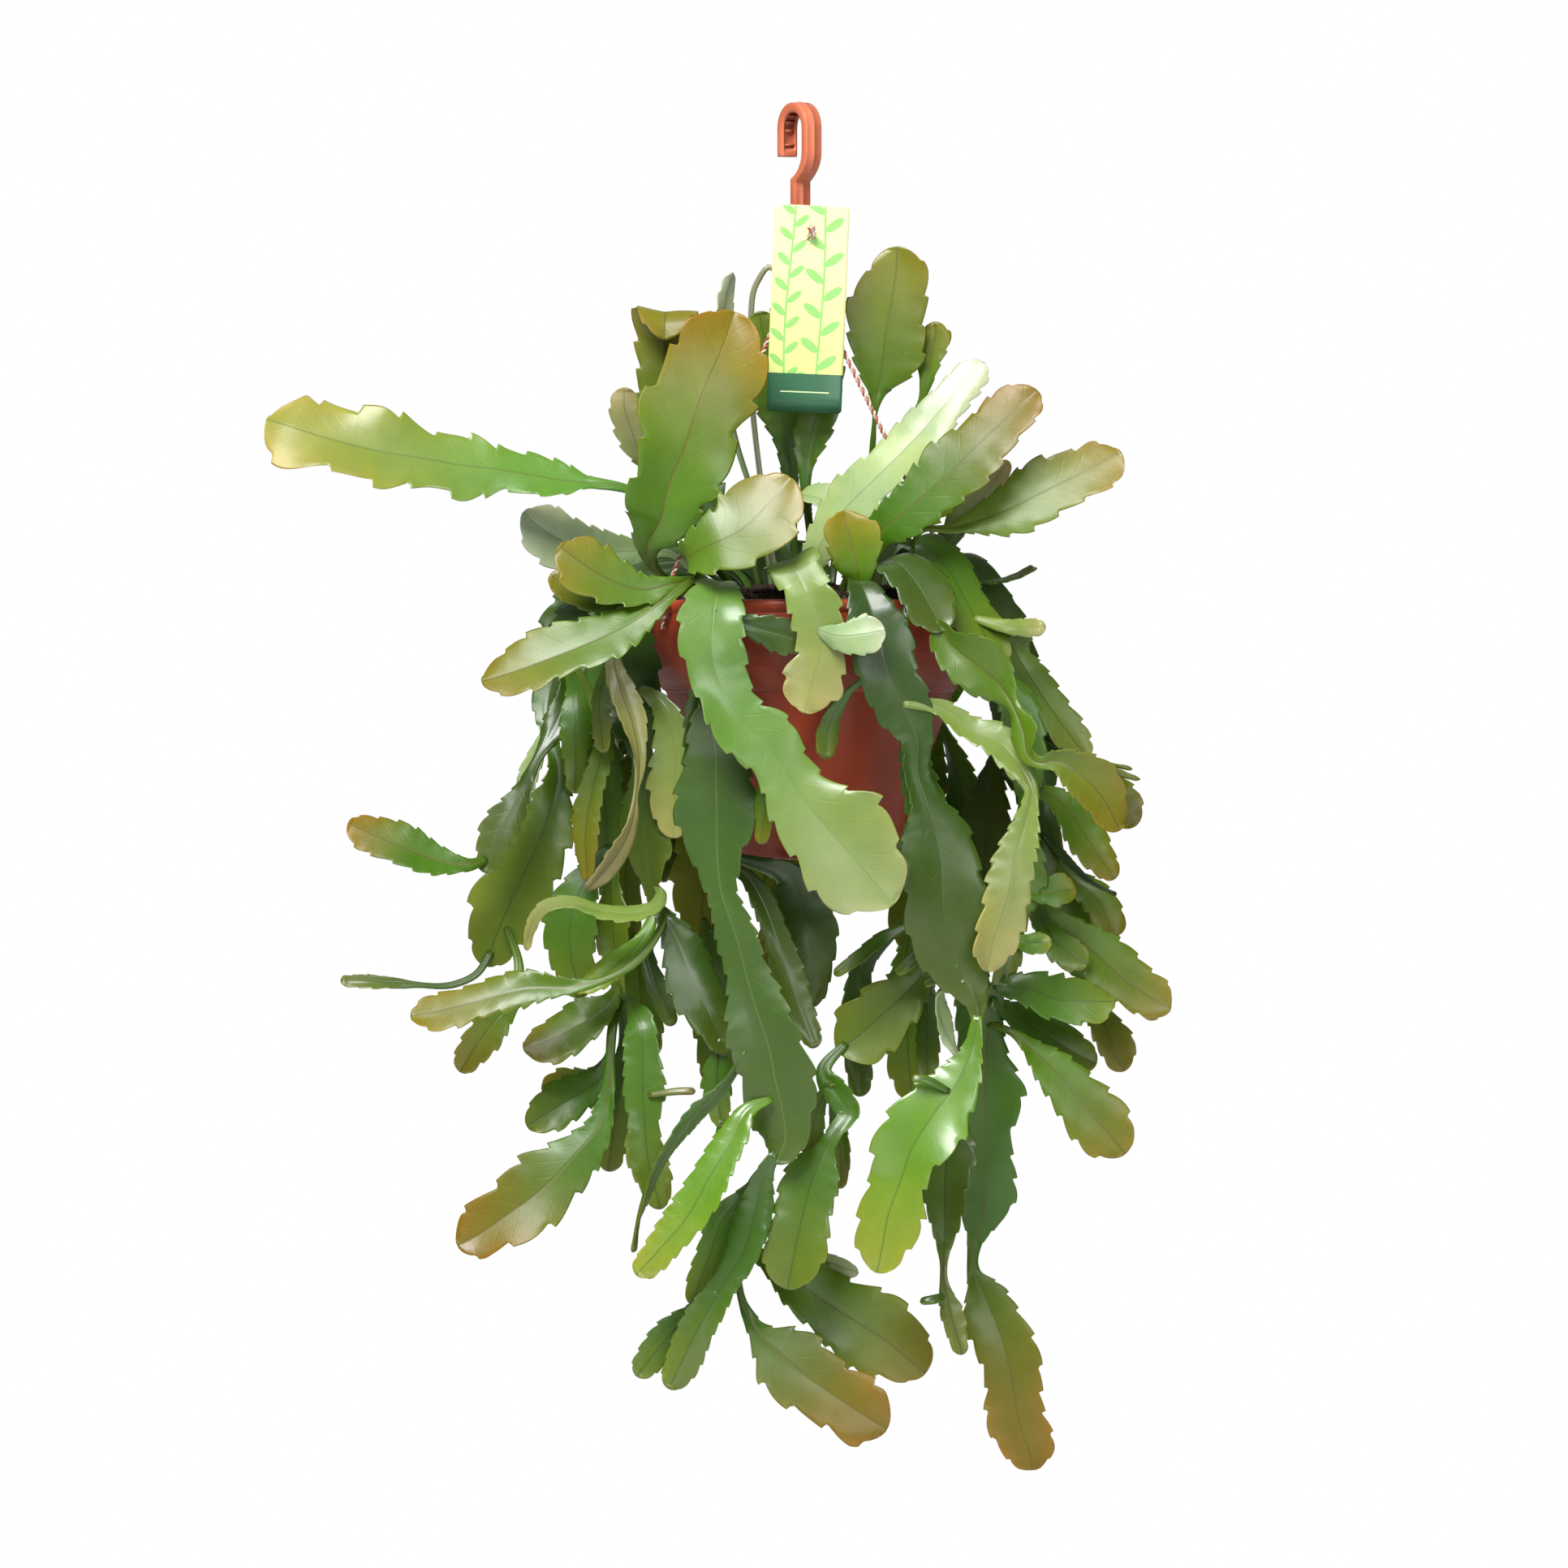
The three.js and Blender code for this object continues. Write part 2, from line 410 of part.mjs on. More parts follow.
      [97, -57, -198, 26], [118, -57, -188, 33], [136, -55, -179, 32], [149, -52, -172, 27],
      [156, -50, -168, 20]], [0, -0.85, 0.5], 0, 0.1, 0),
    blade([[84, -56, -250, 4], [101, -58, -254, 8], [112, -55, -254, 11], [119, -53, -254, 8]],
      [0, -0.9, 0.4], 0, 0.1, 0),
    blade([[99, -60, -276, 4], [104, -60, -290, 20], [108, -60, -311, 26], [110, -60, -330, 14],
      [109, -61, -344, 8], [107, -63, -358, 22], [105, -64, -378, 28], [103, -66, -398, 18],
      [100, -68, -416, 16], [96, -68, -432, 8]], [0.2, -0.95, 0.1], 0, 0.1, 0),
    blade([[110, -60, -334, 4], [120, -57, -336, 10], [129, -55, -343, 18], [137, -52, -354, 22],
      [145, -50, -366, 19], [153, -48, -378, 10]], [0.1, -0.95, 0.2], 0, 0.1, 0),
    blade([[106, -64, -384, 4], [114, -62, -385, 10], [124, -62, -384, 18], [134, -60, -383, 12]],
      [0, -0.85, 0.5], 0, 0.1, 0),
    blade([[103, -66, -407, 3], [109, -70, -409, 9], [116, -70, -409, 11], [122, -70, -409, 8]],
      [0, -0.9, 0.4], 0, 0.1, 0),
    blade([[94, -68, -430, 5], [100, -70, -431, 12], [110, -70, -432, 22], [124, -68, -437, 29],
      [141, -66, -438, 28], [153, -64, -438, 20]], [0, -0.85, 0.5], 0, 0.1, 0),
    blade([[96, -68, -426, 4.8], [92, -64, -440.8, 13.6], [88.8, -60, -464.8, 28],
      [88.8, -58, -482.8, 37.6], [89.2, -56, -504.8, 29.6], [89.2, -55, -524.8, 28.8],
      [88.8, -54, -536.8, 29.6], [86.8, -54, -546.8, 19.2], [83.6, -54, -558.8, 7.2],
      [83.2, -54, -569.6, 6.4], [89.6, -55, -584.8, 24], [97.6, -58, -604.8, 32],
      [102.4, -59, -624.8, 28.8], [106, -59, -644.8, 30.4], [111.2, -58, -660.8, 24.8],
      [112.8, -57, -668.8, 19.2]], [0.05, -0.97, 0.2], 0, 0.12, 0),
    blade([[92, -68, -438, 5], [105, -55, -446, 18], [120, -50, -455, 25], [134, -48, -464, 23],
      [144, -46, -469, 14]], [0, -0.9, 0.4], 0, 0.1, 0),
    blade([[90.8, -62, -448.8, 4], [104, -67, -454, 4.8], [112.8, -68, -462, 12], [124, -70, -472.8, 24],
      [140, -70, -492, 31.2], [151.2, -69, -504.8, 26], [158, -68, -512.8, 18]],
      [0.1, -0.95, 0.2], 0, 0.1, 0),
  ]),
  stem("stem_right_side", "dark", [50, 4], [
    blade([[62, -4, -225, 10], [79, -11, -222, 18], [92, -15, -242, 27], [101, -18, -263, 24],
      [107, -19, -276, 10]], [0.5, -0.75, 0.4], 0, 0.12, 0),
    blade([[78, -12, -231, 3], [92, -22, -232, 12], [106, -27, -229, 14], [115, -29, -225, 8]],
      [-0.3, -0.12, 0.95], 0, 0.1, 0),
    blade([[100, -18, -258, 5], [105, -27, -268, 15], [111, -33, -278, 20], [120, -37, -292, 22],
      [130, -38, -306, 19], [140, -38, -319, 10]], [0.4, -0.85, 0.3], 0, 0.1, 0),
    blade([[104, -16, -268, 5], [111, -21, -288, 24], [116, -22, -314, 28], [118, -24, -338, 14],
      [118, -26, -352, 16], [117, -28, -370, 20], [115, -31, -388, 8]], [0.3, -0.95, 0.05], 0, 0.1, 0),
    blade([[114, -21, -308, 3], [132, -18, -316, 10], [148, -18, -321, 12], [162, -19, -324, 6]],
      [-0.25, -0.14, 0.95], 0, 0.1, 0),
    blade([[116, -22, -316, 3], [134, -8, -322, 10], [150, -6, -326, 12], [166, -6, -329, 6]],
      [-0.25, -0.14, 0.95], 0, 0.1, 0),
    blade([[118, -27, -356, 4], [128, -31, -368, 10], [138, -33, -377, 12], [154, -34, -386, 7]],
      [0.4, -0.4, 0.8], 0, 0.1, 0),
    blade([[115, -30, -386, 5], [119, -37, -395, 12], [128, -39, -402, 19], [144, -41, -415, 26],
      [160, -42, -429, 28], [172, -42, -437, 24], [181, -42, -442, 15]], [0, -0.95, 0.3], 0, 0.1, 0),
    blade([[116, -33, -390, 4], [120, -48, -404, 14], [130, -51, -414, 18], [140, -51, -420, 12]],
      [0, -0.9, 0.3], 0, 0.1, 0),
    blade([[115, -29, -382, 3], [120, -18, -398, 10], [126, -18, -410, 12], [130, -19, -421, 7]],
      [0.9, -0.4, 0.1], 0, 0.1, 0),
  ]),
  stem("stem_right_behind", "dark", [46, 24], [
    blade([[64, 20, -224, 10], [84, 18, -230, 22], [98, 16, -252, 29], [110, 14, -286, 28],
      [112, 12, -316, 10], [116, 12, -336, 22], [121, 10, -354, 24], [126, 8, -372, 8]],
      [0.7, -0.6, 0.3], 0, 0.1, 0),
    blade([[124, 8, -368, 6], [134, 0, -379, 14], [144, -4, -387, 20], [150, -6, -398, 20],
      [152, -7, -408, 12]], [0.2, -0.95, 0.2], 0, 0.1, 0),
    blade([[112, 12, -316, 4], [130, 8, -319, 5], [142, 6, -324, 10], [150, 6, -334, 20],
      [158, 7, -344, 21], [164, 7, -352, 14]], [0.1, -0.95, 0.2], 0, 0.1, 0),
    blade([[125, 8, -368, 5], [131, 8, -392, 22], [137, 9, -415, 26], [142, 7, -434, 8],
      [147, 4, -447, 16], [153, 2, -460, 20], [158, 1, -473, 12]], [0.2, -0.95, 0.1], 0, 0.1, 0),
  ]),
  stem("stem_left_inner", "dark", [-46, -12], [
    blade([[-60, -12, -227, 7], [-78, -13, -231, 20], [-87, -26, -248, 28], [-85, -33, -272, 30],
      [-82, -39, -298, 28], [-79, -43, -320, 11], [-77, -45, -340, 26], [-77, -46, -362, 28],
      [-74, -47, -384, 10], [-72, -48, -394, 6]], [-0.4, -0.9, 0.1], 0, 0.1, 0),
    blade([[-72, -47, -382, 4], [-70, -60, -386, 6], [-73, -68, -392, 9], [-82, -72, -395, 14],
      [-98, -74, -394, 16], [-116, -74, -390, 16], [-127, -73, -393, 14], [-134, -72, -403, 12],
      [-136, -71, -413, 6]], [-0.7, -0.5, 0.5], 0, 0.1, 0),
    blade([[-72, -48, -388, 4], [-69, -60, -398, 4], [-74, -65, -409, 4], [-83, -67, -419, 5],
      [-97, -68, -427, 4], [-114, -69, -431, 9], [-137, -68, -432, 20], [-160, -66, -438, 25],
      [-180, -64, -443, 24], [-193, -62, -445, 15]], [0, -0.85, 0.5], 0, 0.1, 0),
    blade([[-72, -48, -392, 4], [-78, -54, -406, 8], [-92, -56, -420, 15], [-104, -56, -429, 13],
      [-112, -56, -433, 7]], [-0.1, -0.85, 0.5], 0, 0.1, 0),
    blade([[-73, -48, -390, 4], [-68, -56, -397, 10], [-62, -59, -408, 20], [-56, -60, -423, 28],
      [-46, -60, -445, 25], [-41, -60, -456, 18], [-36, -60, -464, 11]], [0.1, -0.95, 0.2], 0, 0.1, 0),
    blade([[-72, -48, -392, 4], [-78, -48, -408, 7], [-76, -50, -420, 9], [-71, -51, -435, 11],
      [-64, -52, -450, 7]], [0.2, -0.95, 0.1], 0, 0.1, 0),
    blade([[-80, -41, -284, 4], [-70, -47, -292, 12], [-64, -50, -310, 24], [-63, -52, -336, 26],
      [-64, -52, -358, 16]], [-0.2, -0.95, 0.1], 0, 0.1, 0),
    blade([[-40, -60, -456, 4], [-42, -60, -470, 13], [-42, -60, -486, 14], [-40, -59, -500, 7]],
      [0.2, -0.95, 0.1], 0, 0.1, 0),
    blade([[-40, -59, -496, 4], [-44, -57, -520, 4], [-43, -56, -537, 4], [-38, -57, -552, 4],
      [-33, -60, -572, 4], [-29, -63, -588, 5], [-22, -66, -600, 14], [-12, -67, -610, 33],
      [-1, -68, -620, 38], [17, -68, -633, 38], [31, -68, -642, 32], [41, -67, -648, 22]],
      [-0.1, -0.95, 0.25], 0, 0.12, 0),
    blade([[-37, -57, -556, 4], [-28, -53, -560, 5], [-20, -50, -564, 11], [-10, -48, -570, 22],
      [3, -47, -580, 34], [22, -46, -593, 40], [42, -46, -606, 40], [53, -46, -615, 32],
      [60, -46, -621, 24]], [0.1, -0.95, 0.25], 0, 0.12, 0),
    blade([[-12, -48, -566, 4], [4, -40, -564, 7], [16, -37, -568, 10], [27, -36, -572, 6]],
      [0, -0.85, 0.5], 0, 0.1, 0),
  ]),
  stem("stem_left_middle", "mid", [-40, 18], [
    blade([[-56, 12, -224, 8], [-80, 4, -230, 20], [-93, -4, -250, 28], [-97, -10, -276, 28],
      [-98, -14, -300, 11], [-98, -17, -324, 26], [-97, -20, -350, 28], [-95, -22, -376, 10],
      [-94, -25, -398, 20], [-92, -27, -420, 10], [-90, -30, -438, 6]], [-0.5, -0.85, 0.1], 0, 0.1, 0),
    blade([[-91, -29, -430, 4], [-96, -38, -440, 12], [-104, -41, -446, 25], [-120, -42, -455, 29],
      [-130, -42, -459, 24], [-138, -42, -461, 16]], [0, -0.85, 0.5], 0, 0.1, 0),
    blade([[-91, -29, -434, 4], [-84, -50, -440, 6], [-80, -62, -450, 16], [-79, -65, -466, 20],
      [-79, -66, -483, 22], [-78, -66, -497, 16], [-77, -66, -511, 20], [-73, -65, -528, 17],
      [-70, -64, -540, 9]], [-0.1, -0.95, 0.1], 0, 0.1, 0.8),
    blade([[-90, -30, -436, 4], [-94, -42, -452, 5], [-95, -46, -466, 5], [-96, -50, -483, 8],
      [-101, -54, -500, 16], [-111, -56, -512, 26], [-127, -58, -529, 37], [-150, -60, -546, 34],
      [-162, -60, -554, 28], [-170, -60, -558, 20]], [0.1, -0.9, 0.35], 0, 0.1, 0.8),
    blade([[-95, -46, -464, 4], [-99, -36, -475, 12], [-108, -32, -482, 21], [-121, -31, -490, 24],
      [-136, -30, -500, 14]], [0, -0.9, 0.35], 0, 0.1, 0),
    blade([[-94, -42, -456, 4], [-98, -30, -468, 5], [-106, -20, -475, 10], [-118, -18, -478, 13],
      [-129, -17, -482, 8]], [0, -0.85, 0.5], 0, 0.1, 0),
    blade([[-90, -30, -438, 4], [-88, -28, -458, 6], [-90, -28, -478, 13], [-93, -28, -500, 19],
      [-96, -28, -522, 12]], [-0.2, -0.95, 0.1], 0, 0.1, 0),
    blade([[-96, -22, -362, 4], [-108, -30, -380, 20], [-115, -33, -402, 28], [-113, -33, -422, 24],
      [-108, -32, -436, 14]], [-0.3, -0.95, 0.1], 0, 0.1, 0),
    blade([[-76, -67, -484, 3], [-60, -70, -482, 4], [-53, -70, -482, 4]], [0, -0.9, 0.4], 0, 0.1, 0),
  ]),
  stem("stem_left_outer", "mid", [-30, 34], [
    blade([[-56, 34, -221, 8], [-86, 26, -226, 20], [-104, 14, -244, 29], [-114, 2, -268, 26],
      [-116, -6, -284, 10], [-120, -14, -298, 15], [-132, -22, -321, 5], [-140, -26, -338, 14],
      [-150, -30, -357, 20], [-157, -32, -375, 11]], [-0.2, -0.95, 0.1], 0, 0.1, 0),
    blade([[-115, -3, -276, 5], [-112, -26, -288, 12], [-112, -32, -304, 16], [-112, -34, -320, 14],
      [-112, -34, -336, 8]], [-0.2, -0.95, 0.1], 0, 0.1, 0),
    blade([[-114, 0, -270, 4], [-104, -28, -290, 5], [-98, -40, -308, 9], [-103, -44, -331, 14],
      [-107, -46, -357, 14], [-106, -46, -379, 7]], [-0.3, -0.95, 0.1], 0, 0.1, 0),
    blade([[-156, -31, -368, 4], [-164, -36, -371, 7], [-180, -38, -369, 19], [-198, -40, -362, 26],
      [-212, -40, -356, 24], [-224, -40, -350, 16]], [0, -0.85, 0.5], 0, 0.1, 0),
  ]),
  stem("stem_left_behind", "mid", [-22, 46], [
    blade([[-52, 50, -218, 8], [-84, 44, -224, 20], [-108, 34, -244, 29], [-122, 24, -272, 29],
      [-127, 16, -296, 12], [-124, 8, -312, 8], [-121, 2, -324, 12], [-125, -4, -345, 25],
      [-135, -8, -369, 41], [-146, -8, -393, 38], [-153, -7, -410, 28], [-157, -6, -421, 18]],
      [-0.1, -0.95, 0.2], 0, 0.1, 0.8),
    blade([[-154, -7, -414, 4], [-161, -12, -425, 4], [-172, -14, -430, 4], [-192, -16, -430, 4],
      [-206, -17, -429, 10], [-218, -17, -428, 11], [-228, -17, -428, 7]], [0, -0.8, 0.6], 0, 0.1, 0),
    blade([[-146, -8, -402, 4], [-140, -24, -422, 5], [-142, -30, -438, 8], [-150, -33, -446, 16],
      [-159, -34, -457, 19], [-169, -34, -473, 11]], [0, -0.95, 0.2], 0, 0.1, 0),
    blade([[-126, 14, -304, 4], [-132, 14, -318, 10], [-136, 14, -330, 11], [-137, 14, -341, 7]],
      [-0.2, -0.95, 0.1], 0, 0.1, 0),
  ]),
  stem("stem_back_1", "dark", [58, 40], [
    blade([[74, 56, -220, 10], [88, 66, -232, 24], [96, 72, -256, 32], [98, 74, -286, 30],
      [96, 72, -312, 9], [92, 70, -336, 26], [90, 68, -366, 34], [88, 66, -396, 28], [86, 64, -416, 14]],
      [0.7, 0.7, 0.1], 0, 0.1, 0),
    blade([[94, 72, -320, 4], [108, 60, -334, 16], [114, 54, -356, 26], [116, 52, -384, 24],
      [116, 50, -404, 15]], [0.8, 0.5, 0.2], 0, 0.1, 0),
    blade([[88, 66, -402, 4], [84, 62, -432, 22], [84, 60, -462, 30], [86, 58, -494, 26],
      [88, 56, -516, 16]], [0.6, 0.8, 0.1], 0, 0.1, 0),
  ]),
  stem("stem_back_2", "mid", [40, 52], [
    blade([[52, 76, -214, 12], [60, 92, -222, 30], [66, 102, -246, 38], [68, 106, -278, 32],
      [66, 104, -304, 9], [60, 102, -330, 28], [56, 100, -362, 36], [54, 98, -392, 30],
      [52, 96, -414, 15]], [0.5, 0.85, 0.1], 0, 0.1, 0.8),
    blade([[66, 104, -298, 4], [76, 98, -322, 16], [80, 96, -348, 28], [78, 96, -376, 28],
      [76, 94, -398, 16]], [0.6, 0.8, 0.2], 0, 0.1, 0),
    blade([[54, 98, -400, 4], [50, 92, -428, 20], [52, 88, -458, 28], [54, 86, -488, 18]],
      [0.4, 0.9, 0.1], 0, 0.1, 0),
  ]),
  stem("stem_back_3", "bronze", [22, 60], [
    blade([[28, 84, -206, 14], [34, 104, -204, 34], [38, 120, -220, 40], [40, 128, -246, 34],
      [40, 130, -268, 20]], [0.2, 0.8, 0.55], 0, 0.12, 0),
    blade([[22, 61, -232, 4], [28, 84, -236, 6], [34, 94, -262, 26], [34, 92, -294, 34],
      [30, 90, -326, 24], [26, 88, -348, 8], [14, 86, -368, 24], [0, 84, -390, 32], [-10, 82, -412, 26],
      [-16, 80, -430, 15]], [0.2, 0.95, 0.1], 0, 0.1, 0),
    blade([[28, 88, -342, 4], [44, 80, -352, 14], [58, 76, -366, 24], [68, 74, -382, 16]],
      [0.5, 0.8, 0.2], 0, 0.1, 0),
  ]),
  stem("stem_back_4", "mid", [-4, 50], [
    blade([[-10, 74, -212, 10], [-7, 92, -214, 28], [-4, 106, -236, 36], [-4, 110, -266, 36],
      [-2, 110, -296, 26], [0, 108, -320, 7], [2, 108, -346, 24], [0, 108, -378, 34], [-4, 108, -408, 28],
      [-6, 106, -428, 16]], [0, 0.97, 0.2], 0, 0.1, 0.8),
    blade([[0, 108, -318, 4], [-12, 114, -338, 14], [-18, 118, -362, 26], [-20, 118, -388, 16]],
      [-0.3, 0.9, 0.2], 0, 0.1, 0),
  ]),
  stem("stem_back_5", "bright", [-8, 62], [
    blade([[-16, 72, -218, 6], [-26, 88, -224, 24], [-34, 98, -244, 34], [-40, 102, -272, 34],
      [-42, 102, -298, 10], [-44, 100, -324, 26], [-48, 98, -356, 36], [-50, 96, -388, 30],
      [-52, 94, -412, 15]], [-0.3, 0.95, 0.1], 0, 0.1, 0.8),
    blade([[-42, 102, -294, 4], [-56, 100, -312, 16], [-64, 98, -336, 28], [-68, 96, -362, 24],
      [-70, 94, -380, 14]], [-0.5, 0.85, 0.2], 0, 0.1, 0),
    blade([[-50, 96, -398, 4], [-44, 92, -426, 20], [-42, 90, -456, 28], [-42, 88, -482, 17]],
      [-0.1, 0.97, 0.1], 0, 0.1, 0),
  ]),
  stem("stem_back_6", "mid", [-34, 58], [
    blade([[-52, 74, -216, 8], [-66, 82, -228, 26], [-76, 84, -252, 34], [-80, 84, -282, 30],
      [-80, 82, -306, 9], [-84, 78, -332, 26], [-88, 74, -362, 32], [-88, 70, -392, 26],
      [-86, 68, -412, 15]], [-0.6, 0.8, 0.1], 0, 0.1, 0),
    blade([[-80, 82, -302, 4], [-94, 70, -318, 14], [-102, 62, -342, 24], [-104, 58, -368, 22],
      [-104, 56, -386, 14]], [-0.8, 0.6, 0.2], 0, 0.1, 0),
    blade([[-88, 70, -398, 4], [-82, 62, -424, 18], [-80, 58, -452, 26], [-80, 56, -478, 16]],
      [-0.5, 0.85, 0.1], 0, 0.1, 0),
  ]),
  stem("stem_back_upright_left", "bronze", [-22, 20], [
    blade([[-30, 28, -210, 6], [-46, 36, -192, 18], [-56, 42, -174, 34], [-60, 48, -152, 38],
      [-58, 52, -132, 32], [-54, 54, -118, 22]], [-0.2, 0.95, 0.2], 0, 0.14, 0),
  ]),
  stem("stem_back_upright_right", "bronze", [32, 32], [
    blade([[40, 38, -212, 6], [54, 44, -198, 20], [66, 50, -184, 32], [78, 56, -170, 30],
      [86, 60, -160, 20]], [0.3, 0.9, 0.3], 0, 0.14, 0),
  ]),
  stem("stem_back_fan_left", "bright", [-12, 38], [
    blade([[-24, 52, -212, 6], [-36, 66, -202, 22], [-46, 78, -192, 34], [-54, 90, -186, 32],
      [-60, 98, -186, 20]], [-0.2, 0.6, 0.8], 0, 0.12, 0),
  ]),
  stem("stem_back_fan_right", "mid", [14, 42], [
    blade([[18, 58, -212, 8], [22, 74, -204, 24], [26, 88, -198, 36], [30, 102, -196, 32],
      [32, 112, -198, 20]], [0.1, 0.8, 0.6], 0, 0.12, 0),
  ]),
];

function stemGeometry({ root: [x, y], blades }) {
  const [first, ...others] = blades;
  const root = [[x, y, rootBottom, rootWidth], [x, y, soilTop + 3, rootWidth]];
  const rooted = { ...first, stations: [...root, ...first.stations] };
  return joined([rooted, ...others].map(bladeGeometry));
}

// The pot: a thick-walled bowl turned about its axis, with a rolled rim, an upper band that ends in
// a step, and a strong taper. Radii are the outside's, heights are from the rim's top.

const potOutside = [
  [potRimRadius - 2.6, 0], [potRimRadius - 0.4, -1.4], [potRimRadius + 0.4, -4.4],
  [potRimRadius - 0.8, -6.2],
  [potRimRadius, -19], [potRimRadius - 3, -33], [potRimRadius - 7.8, -43.6],
  [potRimRadius - 9.4, -44.8], [64.8, -62], [56.4, -84], [48.6, -106],
  [potBaseRadius + 2, -potHeight + 2.4],
  [potBaseRadius, -potHeight],
];

function potGeometry() {
  const floor = -potHeight + 2.6;
  const inside = [[potRimRadius - 4.4, -1.2], [potRimRadius - 4.4, -34], [64.8 - potWall, -62],
    [48.6 - potWall, -106], [potBaseRadius, floor], [0, floor]];
  const profile = [[0, -potHeight], ...[...potOutside].reverse(), ...inside];
  const bowl = new THREE.LatheGeometry(profile.map(([r, z]) => new THREE.Vector2(r, z)), potSides);
  bowl.rotateX(Math.PI / 2);
  bowl.translate(potAxisX, 0, potRimTop);
  let pot = toSolid(bowl);
  for (const angle of lugAngles) {
    const turn = THREE.MathUtils.degToRad(angle);
    const lug = new THREE.BoxGeometry(9.5, 9, 4.4);
    lug.translate(lugRadius - 1.2, 0, potRimTop - 3);
    const slot = new THREE.CylinderGeometry(cordRadius + touchGap, cordRadius + touchGap, 12, 8);
    slot.rotateX(Math.PI / 2);
    slot.translate(lugRadius, 0, potRimTop - 3);
    for (const piece of [lug, slot]) {
      piece.rotateZ(turn);
      piece.translate(potAxisX, 0, 0);
    }
    pot = pot.add(toSolid(lug)).subtract(toSolid(slot));
  }
  return toGeometry(pot);
}

// Soil fills the pot's mouth, a little heaped, with a plain hole for each stem.

function soilGeometry() {
  const reach = potRimRadius - 4.4 - touchGap;
  const heap = [[0, soilTop + 1.5], [30, soilTop + 1], [58, soilTop - 0.5], [reach - 4, soilTop - 3],
    [reach, soilTop - 6.5], [reach - 0.6, soilTop - soilDepth], [0, soilTop - soilDepth]];
  const disc = new THREE.LatheGeometry(heap.map(([r, z]) => new THREE.Vector2(r, z)).reverse(), potSides);
  disc.rotateX(Math.PI / 2);
  disc.translate(potAxisX, 0, 0);
  let soil = toSolid(disc);
  for (const { root: [x, y] } of stems) {
    const hole = new THREE.CylinderGeometry(rootHoleRadius, rootHoleRadius, 30, 6);
    hole.rotateX(Math.PI / 2);
    hole.translate(x, y, rootBottom + 15 - touchGap);
    soil = soil.subtract(toSolid(hole));
  }
  return toGeometry(soil);
}

// The hook: a flat strap bent over at the top, hollow on its inner side with ribs across the
// hollow, and a shank that carries the hub. It is drawn in its own plane and turned about Z.

function strapOutline(thickness, tipLength, legLength) {
  const inner = hookInnerRadius;
  const outer = hookInnerRadius + thickness;
  const shape = new THREE.Shape();
  shape.moveTo(-inner, -inner - tipLength);
  shape.absarc(0, -inner, inner, Math.PI, 0, true);
  shape.lineTo(inner, -inner - legLength);
  shape.quadraticCurveTo(inner - 0.6, -inner - legLength - 9, -1.6, -inner - legLength - 13);
  shape.lineTo(-1.6, hubHeight + 4);
  shape.lineTo(thickness - 1.6, hubHeight + 4);
  shape.lineTo(thickness - 1.6, -inner - legLength - 14.5);
  shape.quadraticCurveTo(outer, -inner - legLength - 8, outer, -inner - legLength);
  shape.lineTo(outer, -inner);
  shape.absarc(0, -inner, outer, 0, Math.PI, false);
  shape.lineTo(-outer, -inner - tipLength);
  shape.closePath();
  return shape;
}

function slab(shape, width) {
  const shaping = { depth: width, bevelEnabled: false, curveSegments: 9 };
  const geometry = new THREE.ExtrudeGeometry(shape, shaping);
  geometry.translate(0, 0, -width / 2);
  geometry.rotateX(Math.PI / 2);
  return geometry;
}

function hookGeometry() {
  const tipLength = 14;
  const legLength = 12;
  let hook = toSolid(slab(strapOutline(strapThickness, tipLength, legLength), strapWidth));
  const pocket = new THREE.Shape();
  const inner = hookInnerRadius - 1;
  const outer = hookInnerRadius + strapPocket;
  pocket.moveTo(-inner, -hookInnerRadius - tipLength + 2);
  pocket.absarc(0, -hookInnerRadius, inner, Math.PI, 0, true);
  pocket.lineTo(inner, -hookInnerRadius - legLength + 2);
  pocket.lineTo(outer, -hookInnerRadius - legLength + 2);
  pocket.absarc(0, -hookInnerRadius, outer, 0, Math.PI, false);
  pocket.lineTo(-outer, -hookInnerRadius - tipLength + 2);
  pocket.closePath();
  hook = hook.subtract(toSolid(slab(pocket, strapWidth - 3.4)));
  const ribCount = 9;
  for (let i = 0; i < ribCount; i++) {
    const rib = new THREE.BoxGeometry(strapPocket + 0.8, strapWidth - 3, 0.9);
    rib.translate(hookInnerRadius + strapPocket / 2 + 0.4, 0, 0);
    rib.rotateY(-Math.PI * (0.04 + 0.92 * i / (ribCount - 1)));
    rib.translate(0, 0, -hookInnerRadius);
    hook = hook.add(toSolid(rib));
  }
  const hub = new THREE.LatheGeometry([[0, -5], [hubRadius, -5], [hubRadius, 1], [5.6, 5], [0, 5]]
    .map(([r, z]) => new THREE.Vector2(r, z)), 20);
  hub.rotateX(Math.PI / 2);
  hub.translate(0.9, 0, hubHeight);
  hook = hook.add(toSolid(hub));
  const geometry = toGeometry(hook);
  geometry.rotateZ(hookTurn);
  geometry.translate(-plantShift, 0, 0);
  let turned = toSolid(geometry);
  for (const angle of lugAngles) {
    turned = turned.subtract(toSolid(hangerRod(angle, cordRadius + touchGap, -touchGap)));
  }
  return toGeometry(turned);
}

// A cord is a straight round rod from the hub to a lug, ending in a knot under the lug.

function cordEnds(angle) {
  const turn = THREE.MathUtils.degToRad(angle);
  const from = new THREE.Vector3(4.4 * Math.cos(turn) - 1.5, 4.4 * Math.sin(turn) - 0.8, hubHeight - 3);
  const lugX = lugRadius * Math.cos(turn) + potAxisX;
  const lug = new THREE.Vector3(lugX, lugRadius * Math.sin(turn), potRimTop);
  return { from, lug };
}

